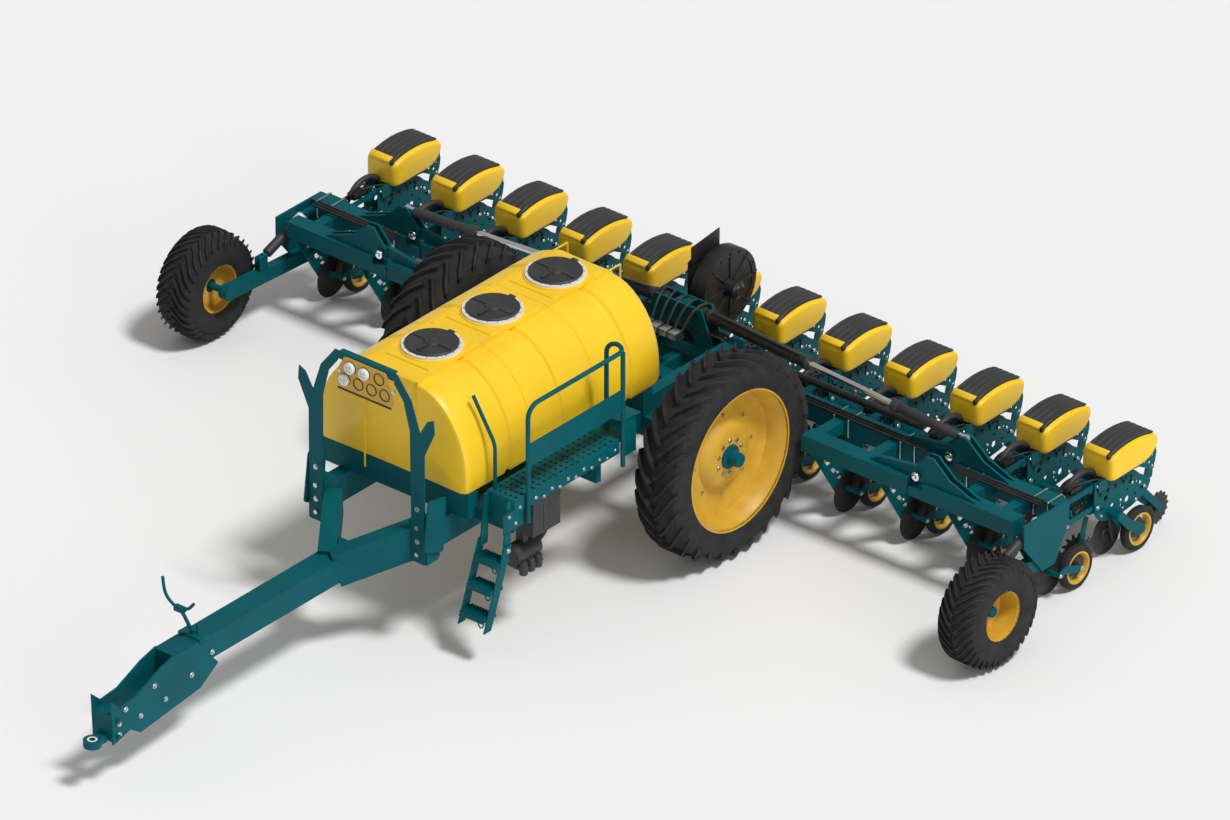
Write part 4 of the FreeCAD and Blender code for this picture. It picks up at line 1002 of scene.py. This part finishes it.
# %% Hangers and discs
def opener_teal():
    """Slotted hanger made of two straps with cross ties, and the wheel's arm."""
    pieces = []
    front = [(0.70, 0.73), (0.745, 0.73), (1.02, 0.36), (1.12, 0.30), (1.13, 0.19), (1.08, 0.17),
        (1.0, 0.24)]
    rear = [(0.79, 0.73), (0.83, 0.73), (1.2, 0.34), (1.2, 0.19), (1.14, 0.17), (1.12, 0.3)]
    for outline in (front, rear):
        pieces.append(side_plate("strap", outline, 0.02, 0.036, 0.012, 2))
    for y, z, reach in ((0.74, 0.7, 0.07), (0.815, 0.6, 0.075), (0.9, 0.49, 0.08),
        (0.985, 0.385, 0.09)):
        tie = [(y - 0.02, z + 0.03), (y + reach, z + 0.045), (y + reach, z), (y - 0.02, z - 0.015)]
        pieces.append(side_plate("tie", tie, 0.018, 0.038))
    arm = [(1.1, 0.21), (1.1, 0.27), (1.2, 0.3), (1.32, 0.25), (1.41, 0.22), (1.41, 0.17),
        (1.3, 0.19), (1.2, 0.23)]
    pieces.append(side_plate("arm", arm, 0.196, 0.208, 0.02))
    pieces.append(bar("cross", at(0.03, 1.12, 0.24), at(0.2, 1.12, 0.24), 0.022, 16))
    return dress(join("opener_teal", pieces), TEAL)


OPENER = (1.16, 0.2)
disc = turned("opener", [(0.042, 0.0), (0.042, 0.035), (0.047, 0.04), (0.045, 0.196), (0.048, 0.2),
    (0.051, 0.196), (0.053, 0.04), (0.058, 0.03), (0.058, 0.0)], at(0, *OPENER), 48)
hub_bolts = bolt_circle("hub_bolts", at(0.055, *OPENER), 1, 0.022, 5, 0.006)
parts_of_opener = [dress(join("opener_black", [disc]), STEEL_BLACK), opener_teal(),
    dress(hub_bolts, ZINC)]
bright = bolt_head("arm_bolt", 0.013, 0.012)
spots = [at(0.208, 1.4, 0.195), at(0.208, 1.12, 0.24), at(0.038, 0.86, 0.6), at(0.038, 1.02, 0.42),
    at(0.038, 0.76, 0.7)]
parts_of_opener.append(dress(repeat("arm_bolts", bright,
    [Matrix.Translation(spot) for spot in spots]), ZINC))
for name, rows in SECTIONS.items():
    parent = CARRIER[name]
    for number, master in enumerate(parts_of_opener):
        piece = repeat(f"{name}_openers_{number}", master, [shift(x=x) for x in rows], keep=True)
        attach(piece, parent)
        if number < 2:
            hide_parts(f"{name}_feeders")
for master in parts_of_opener:
    bpy.data.objects.remove(master)
print("fertiliser openers done")

# %% [markdown]
# ## Coupler board
# A gold plate at the top of the hoop carries seven coupler places. Each has a dark ring,
# and three hold a pale coupler with a cross grip. A dark strip runs below.

# %% Board, rings and couplers
BOARD_FACE = -2.822
corners = [(-0.3, 2.3), (-0.22, 2.445), (0.22, 2.445), (0.31, 2.2), (0.29, 2.155), (-0.29, 2.155)]
board = plate("board", [(x, z) for x, z in soften(corners, 0.02, 3)], BOARD_FACE + AXLE,
    BOARD_FACE + 0.01 + AXLE, axis="y")
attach(dress(board, RIM), "chassis")
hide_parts("coupler_board")


def facing_front(name, profile, x, z, steps=32):
    """A turned piece whose axis points forward from the board."""
    piece = turned(name, profile, (0, 0, 0), steps)
    piece.data.transform(put(x, BOARD_FACE, z) @ Matrix.Rotation(-math.pi / 2, 4, "Z"))
    return piece


PLACES = [(-0.15, 2.365), (0.0, 2.365), (0.15, 2.365), (-0.21, 2.24), (-0.07, 2.24), (0.07, 2.24),
    (0.21, 2.24)]
rings = [facing_front("ring", [(-0.001, 0.046), (0.006, 0.048), (0.007, 0.053), (-0.001, 0.055)], x,
    z) for x, z in PLACES]
strip = block("strip", at(-0.29, BOARD_FACE - 0.008, 2.135), at(0.28, BOARD_FACE + 0.006, 2.147), 0.002)
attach(dress(join("coupler_rings", rings + [strip]), HOSE), "chassis")
couplers = []
for x, z in (PLACES[0], PLACES[1], PLACES[3]):
    couplers.append(facing_front("coupler", [(0.0, 0.0), (0.0, 0.052), (0.026, 0.052), (0.034, 0.045),
        (0.036, 0.028), (0.03, 0.024), (0.03, 0.0)], x, z))
    for dx, dz in ((0.038, 0.006), (0.006, 0.038)):
        low, high = at(x - dx, BOARD_FACE - 0.04, z - dz), at(x + dx, BOARD_FACE - 0.03, z + dz)
        couplers.append(block("grip", low, high, 0.003))
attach(dress(join("pale_couplers", couplers), WHITE), "chassis")
print("coupler board done")

# %% [markdown]
# ## Cylinders, fan, pump and front details
# The fold cylinders have hose lines and end glands, and black sleeves cover the outer part
# of their rods. The fan has a bolted rim and a tall flat bracket.

# %% Fold cylinders and wing cylinders
def along_cylinder(side, share):
    """A point on the line from the fold cylinder's root to its lug."""
    root, lug = Vector(at(side * 0.2, 1.19, 1.28)), Vector(at(side * 3.0, 1.19, 1.1))
    return root.lerp(lug, share)


for label, side in (("left", -1), ("right", 1)):
    length = (along_cylinder(side, 1) - along_cylinder(side, 0)).length
    glands = []
    for share, radius, long in ((0.03, 0.06, 0.03), (0.35, 0.058, 0.02), (0.397, 0.062, 0.05)):
        start = along_cylinder(side, share)
        glands.append(bar("gland", start, start.lerp(along_cylinder(side, 1), long / length), radius,
            28, bevel=0.004))
    line = [along_cylinder(side, t) + Vector((0, -0.03, 0.066)) for t in (0.05, 0.2, 0.38)]
    glands.append(hose("steel_line", [tuple(p) for p in line], 0.009))
    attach(dress(join(f"fold_barrel_{label}_glands", glands), BLACK), f"fold_barrel_{label}")
    sleeve = [bar("sleeve", along_cylinder(side, 0.74), along_cylinder(side, 0.97), 0.042, 24,
        bevel=0.006)]
    sleeve.append(bar("collar", along_cylinder(side, 0.725), along_cylinder(side, 0.75), 0.056, 24,
        bevel=0.005))
    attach(dress(join(f"fold_rod_{label}_sleeve", sleeve), BLACK), f"fold_rod_{label}")
    x = side * 3.9577
    body = bar("height_barrel", at(x, 0.5, 0.632), at(x, 0.86, 0.765), 0.044, 24, bevel=0.005)
    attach(dress(join(f"wing_{label}_height_barrel", [body]), BLACK), f"wing_{label}")
    end = bar("height_end", at(x, 0.86, 0.765), at(x, 0.95, 0.797), 0.047, 24, bevel=0.006)
    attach(dress(end, WHITE), f"wing_{label}")
    cap = bar("height_pin", at(x - 0.06, 0.95, 0.797), at(x + 0.06, 0.95, 0.797), 0.014, 16)
    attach(dress(cap, CHROME), f"wing_{label}")
print("cylinders done")

# %% Fan rim, bracket and hoses
FAN = (0.0, 1.7, 1.25)


def round_fan(x, radius, share):
    """A point on a circle about the fan's axle, at a share of a full turn."""
    return at(x, FAN[1] + radius * math.cos(math.tau * share),
        FAN[2] + radius * math.sin(math.tau * share))


fan_parts = [turned("fan_rim", [(-0.078, 0.285), (-0.078, 0.335), (-0.06, 0.342), (0.06, 0.342),
    (0.078, 0.335), (0.078, 0.285)], at(*FAN), 56)]
fan_parts.append(turned("fan_cone", [(-0.075, 0.1), (-0.095, 0.11), (-0.105, 0.16), (-0.078, 0.25),
    (-0.074, 0.25), (-0.1, 0.16)], at(*FAN), 48))
for i in range(16):
    fan_parts.append(bar("rim_bolt", round_fan(-0.088, 0.312, i / 16),
        round_fan(0.088, 0.312, i / 16), 0.011, 8))
for i in range(8):
    fan_parts.append(bar("rib", round_fan(0.073, 0.08, i / 8), round_fan(0.073, 0.28, i / 8), 0.008, 8))
bracket = [(1.42, 1.1), (1.42, 1.52), (1.76, 1.66), (1.76, 1.5), (1.62, 1.4)]
fan_parts.append(side_plate("fan_bracket", bracket, -0.15, -0.142))
fan_parts.append(side_plate("visor", [(1.44, 1.5), (1.44, 1.66), (1.8, 1.7), (1.8, 1.53)], -0.13,
    -0.122))
fan_parts.append(turned("drum", [(-0.07, 0.0), (-0.07, 0.3), (0.07, 0.3), (0.07, 0.0)], at(*FAN), 56))
fan_parts.append(turned("motor", [(0.07, 0.0), (0.07, 0.085), (0.09, 0.078), (0.16, 0.078),
    (0.18, 0.05), (0.188, 0.045), (0.188, 0.0)], at(*FAN), 32))
outlet = [(1.56, 1.45), (1.58, 1.56), (1.8, 1.58), (1.9, 1.42)]
fan_parts.append(side_plate("outlet", outlet, -0.055, 0.055, 0.03))
fan_parts.append(block("fan_foot", at(-0.06, 1.56, 0.88), at(0.06, 1.84, 1.0), 0.006))
fan_parts.append(hose("air_hose", [at(0.0, 1.6, 1.0), at(0.05, 1.5, 0.96), at(0.1, 1.36, 0.95),
    at(0.3, 1.3, 0.94)], 0.05))
fan_parts.append(bar("manifold", at(-2.4, 1.36, 0.93), at(2.4, 1.36, 0.93), 0.034, 24))
fan = dress(join("fan_details", fan_parts), STEEL_BLACK)
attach(fan, "chassis")
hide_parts("fan_housing")
tower_hoses = []
for i in range(5):
    x = -0.16 + 0.08 * i
    tower_hoses.append(hose("tower_hose", [at(x, 0.95, 1.14), at(x * 1.1, 1.05, 1.3),
        at(x * 1.3, 1.19, 1.37), at(x * 1.5, 1.32, 1.3), at(x * 1.8, 1.34, 1.1)], 0.013))
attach(dress(join("tower_hoses", tower_hoses), HOSE), "chassis")
valves = [block("valve", at(-0.2 + 0.1 * i, 0.86, 1.14), at(-0.12 + 0.1 * i, 0.96, 1.2),
    0.006) for i in range(4)]
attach(dress(join("valves", valves), ZINC), "chassis")
print("fan and hoses done")

# %% Pump, filter and under-deck lines
PUMP = (0.96, -2.0, 0.72)
pump = [turned("pump_body", [(-0.15, 0.0), (-0.15, 0.07), (-0.12, 0.092), (0.0, 0.097), (0.1, 0.092),
    (0.12, 0.06), (0.15, 0.055), (0.15, 0.0)], (0, 0, 0), 36)]
pump[0].data.transform(put(*PUMP) @ Matrix.Rotation(math.pi / 2, 4, "Z"))
for dy in (-0.09, 0.0, 0.09):
    y = PUMP[1] + dy
    pump.append(bar("port", at(PUMP[0], y, 0.62), at(1.08, y, 0.62), 0.032, 20, bevel=0.004))
    pump.append(bar("bowl", at(1.05, y, 0.56), at(1.05, y, 0.68), 0.036, 24, bevel=0.01))
pump.append(hose("suction", [at(0.96, -1.86, 0.72), at(0.95, -1.7, 0.74), at(0.85, -1.55, 0.9),
    at(0.75, -1.4, 1.1)], 0.03))
pump.append(block("box_lid", at(0.873, -2.087, 1.19), at(1.152, -1.733, 1.258), 0.012))
pump.append(block("box_rib", at(1.14, -1.95, 0.95), at(1.15, -1.87, 1.2), 0.004))
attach(dress(join("pump_details", pump), BLACK), "chassis")
lines = []
for x in (1.02, 1.05):
    route = [at(x, -1.75, 1.2), at(x + 0.01, -1.3, 1.22), at(x - 0.02, -0.95, 1.24), at(0.9, -0.7, 1.2)]
    lines.append(hose("deck_line", route, 0.008))
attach(dress(join("deck_lines", lines), ZINC), "chassis")
steps = []
for i in range(4):
    y = -2.32 + 0.27 * i
    steps.append(block("deck_rib", at(0.86, y, 1.378), at(1.148, y + 0.012, 1.386), 0.002))
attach(dress(join("deck_ribs", steps), TEAL), "chassis")
print("pump done")

# %% Hitch, drawbar and hoop bolts
HOOP_FACE = -2.812
bush = turned("bush", [(-0.032, 0.0262), (-0.032, 0.042), (0.032, 0.042), (0.032, 0.0262)], (0, 0, 0),
    32)
bush.data.transform(put(0, -6.18, 0.436) @ Matrix.Rotation(math.pi / 2, 4, "Y"))
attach(dress(bush, WHITE), "chassis")
holder = [bar("holder_post", at(0, -4.95, 0.9), at(0, -5.1, 1.2), 0.016, 16),
    block("holder_foot", at(-0.12, -5.0, 0.86), at(0.12, -4.88, 0.9), 0.006)]
holder.append(block("holder_clamp", at(-0.05, -5.13, 1.17), at(0.05, -5.08, 1.22), 0.006))
cradle = []
for angle in range(195, 336, 20):
    a = math.radians(angle)
    cradle.append(at(0.17 * math.cos(a), -5.11, 1.37 + 0.17 * math.sin(a)))
holder.append(hose("cradle", [at(-0.175, -5.11, 1.43)] + cradle, 0.014))
holder.append(bar("holder_pin", at(0.03, -4.93, 0.9), at(0.03, -4.93, 0.99), 0.012, 12))
holder = dress(join("holder", holder), TEAL)
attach(holder, "chassis")
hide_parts("hose_holder")
head = bolt_head("front_bolt", 0.018, 0.016)
spots = [(-5.98, 0.56), (-5.98, 0.46), (-5.9, 0.66), (-5.72, 0.52), (-5.55, 0.72), (-5.42, 0.54),
    (-5.1, 0.62), (-4.85, 0.72)]
places = []
for side in (-1, 1):
    places += [put(side * 0.11, y, z) @ facing(side) for y, z in spots]
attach(dress(repeat("front_bolts", head, places, keep=True), ZINC), "chassis")
head.data.transform(Matrix.Rotation(-math.pi / 2, 4, "Z"))
hoop_spots = [(-0.54, 1.3), (0.54, 1.3), (-0.27, 2.3), (0.3, 2.3), (-0.54, 1.0), (0.54, 1.0)]
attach(dress(repeat("hoop_bolts", head, [put(x, HOOP_FACE, z) for x, z in hoop_spots]), ZINC),
    "chassis")
print("front details done")

# %% Deck skirt, ladder treads, hoop flange and feet
skirt = [block("skirt", at(1.142, -2.32, 1.25), at(1.15, -1.0, 1.382), 0.003)]
skirt.append(block("front_skirt", at(0.86, -2.328, 1.12), at(1.14, -2.32, 1.382), 0.003))
skirt.append(block("side_skirt", at(1.138, -2.45, 1.12), at(1.146, -2.2, 1.3), 0.003))
skirt.append(block("shelf", at(1.0, -0.98, 1.52), at(1.16, -0.74, 1.53), 0.003))
skirt.append(block("shelf_side", at(1.152, -0.98, 1.2), at(1.16, -0.8, 1.53), 0.003))
skirt.append(block("hoop_flange", at(-0.29, HOOP_FACE, 2.45), at(0.29, -2.75, 2.468), 0.004))
hoop_foot = [(-2.86, 0.95), (-2.62, 0.86), (-2.58, 1.36), (-2.8, 1.4)]
for side in (-1, 1):
    skirt.append(side_plate("hoop_foot", hoop_foot, side * 0.64, side * 0.64 + 0.012, 0.03))
    skirt.append(block("hoop_rib", at(side * 0.54 - 0.06, -2.8, 0.86),
        at(side * 0.54 + 0.06, -2.78, 1.46), 0.004))
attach(dress(join("skirts", skirt), TEAL), "chassis")
bolt = bolt_head("skirt_bolt", 0.012, 0.012)
spots = [at(1.15, -2.25 + 0.2 * i, 1.3) for i in range(7)]
spots += [at(1.15, -2.15 + 0.2 * i, 1.27) for i in range(6)]
spots += [at(1.146, -2.38, 1.26), at(1.146, -2.3, 1.17)]
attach(dress(repeat("skirt_bolts", bolt, [Matrix.Translation(spot) for spot in spots]), ZINC),
    "chassis")
treads = []
for i in range(3):
    share = (i + 0.5) / 3
    y, z = -2.39 - 0.26 * share, 0.95 - 0.65 * share
    for k in range(9):
        x = 0.885 + 0.029 * k
        treads.append(block("tooth", at(x, y - 0.072, z + 0.008), at(x + 0.016, y + 0.072, z + 0.022),
            0.002))
    treads.append(block("lip", at(0.873, y - 0.078, z - 0.03), at(1.132, y - 0.07, z + 0.014), 0.002))
    for x in (0.9, 1.1):
        loop = [(-0.03, -0.075, -0.02), (-0.02, -0.077, -0.065), (0.02, -0.077, -0.065),
            (0.03, -0.075, -0.02)]
        treads.append(hose("loop", [at(x + dx, y + dy, z + dz) for dx, dy, dz in loop], 0.006))
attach(dress(join("ladder_treads", treads), TEAL), "ladder")
for x in (0.861, 1.144):
    end = bolt_head("ladder_bolt", 0.016, 0.014)
    end.data.transform(put(x, -2.39, 0.95) @ facing(x - 1))
    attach(dress(end, ZINC), "ladder")
print("deck and ladder details done")

# %% [markdown]
# ## Stage and camera
# A plain pale floor, a soft dim sky and one strong lamp from above and the ladder side give
# dark fronts and bright tops. A weaker second lamp keeps the right side from going black.
# The floor is matt and isn't part of the machine.
# The camera stands far away with a long lens, so that the lines stay almost parallel.

# %% Floor
FLOOR_SIZE = 400.0
clear()
bpy.ops.mesh.primitive_plane_add(size=FLOOR_SIZE, location=(0, 0, -0.003))
floor = bpy.context.object
floor.name = "floor"
pale = bpy.data.materials.new("pale floor")
pale.use_nodes = True
paper = pale.node_tree.nodes["Principled BSDF"].inputs
paper["Base Color"].default_value = (0.86, 0.86, 0.86, 1)
paper["Roughness"].default_value = 1.0
paper["Specular IOR Level"].default_value = 0.0
floor.data.materials.append(pale)
print("floor", FLOOR_SIZE, "m across")

# %% Light
SKY_LIGHT = 0.36
world = bpy.data.worlds.new("sky")
bpy.context.scene.world = world
world.use_nodes = True
sky, sky_links = world.node_tree.nodes, world.node_tree.links
seen = sky.new("ShaderNodeLightPath")
dim = sky["Background"]
dim.inputs["Color"].default_value = (1, 1, 1, 1)
dim.inputs["Strength"].default_value = SKY_LIGHT
bright = sky.new("ShaderNodeBackground")
bright.inputs["Color"].default_value = (1, 1, 1, 1)
bright.inputs["Strength"].default_value = 1.0
either = sky.new("ShaderNodeMixShader")
sky_links.new(seen.outputs["Is Camera Ray"], either.inputs[0])
sky_links.new(dim.outputs[0], either.inputs[1])
sky_links.new(bright.outputs[0], either.inputs[2])
sky_links.new(either.outputs[0], sky["World Output"].inputs["Surface"])
for name, direction, energy, spread in (("key", (0.55, 0.05, 1.0), 2.3, 12),
    ("side", (1.0, -0.3, 0.25), 0.5, 30)):
    lamp = bpy.data.lights.new(name, "SUN")
    lamp.energy = energy
    lamp.angle = math.radians(spread)
    holder = bpy.data.objects.new(name, lamp)
    holder.rotation_euler = Vector(direction).to_track_quat("Z", "Y").to_euler()
    bpy.context.collection.objects.link(holder)
print("lamps and sky ready")

# %% Camera
AZIMUTH, ELEVATION, FAR = math.radians(40.05), math.radians(29.7), 150.0
PER_METRE, IMAGE_WIDTH, SENSOR = 122.2, 1230, 36.0
target = Vector((0.382, 1.6, 1.0))
back = Vector((math.sin(AZIMUTH) * math.cos(ELEVATION), -math.cos(AZIMUTH) * math.cos(ELEVATION),
    math.sin(ELEVATION)))
camera_data = bpy.data.cameras.new("camera")
camera_data.sensor_width = SENSOR
camera_data.lens = PER_METRE * FAR / IMAGE_WIDTH * SENSOR
camera_data.clip_end = 1000
camera = bpy.data.objects.new("camera", camera_data)
camera.location = target + back * FAR
camera.rotation_euler = back.to_track_quat("Z", "Y").to_euler()
bpy.context.collection.objects.link(camera)
bpy.context.scene.camera = camera
bpy.context.scene.view_settings.view_transform = "Standard"
print("camera lens", round(camera_data.lens, 1))
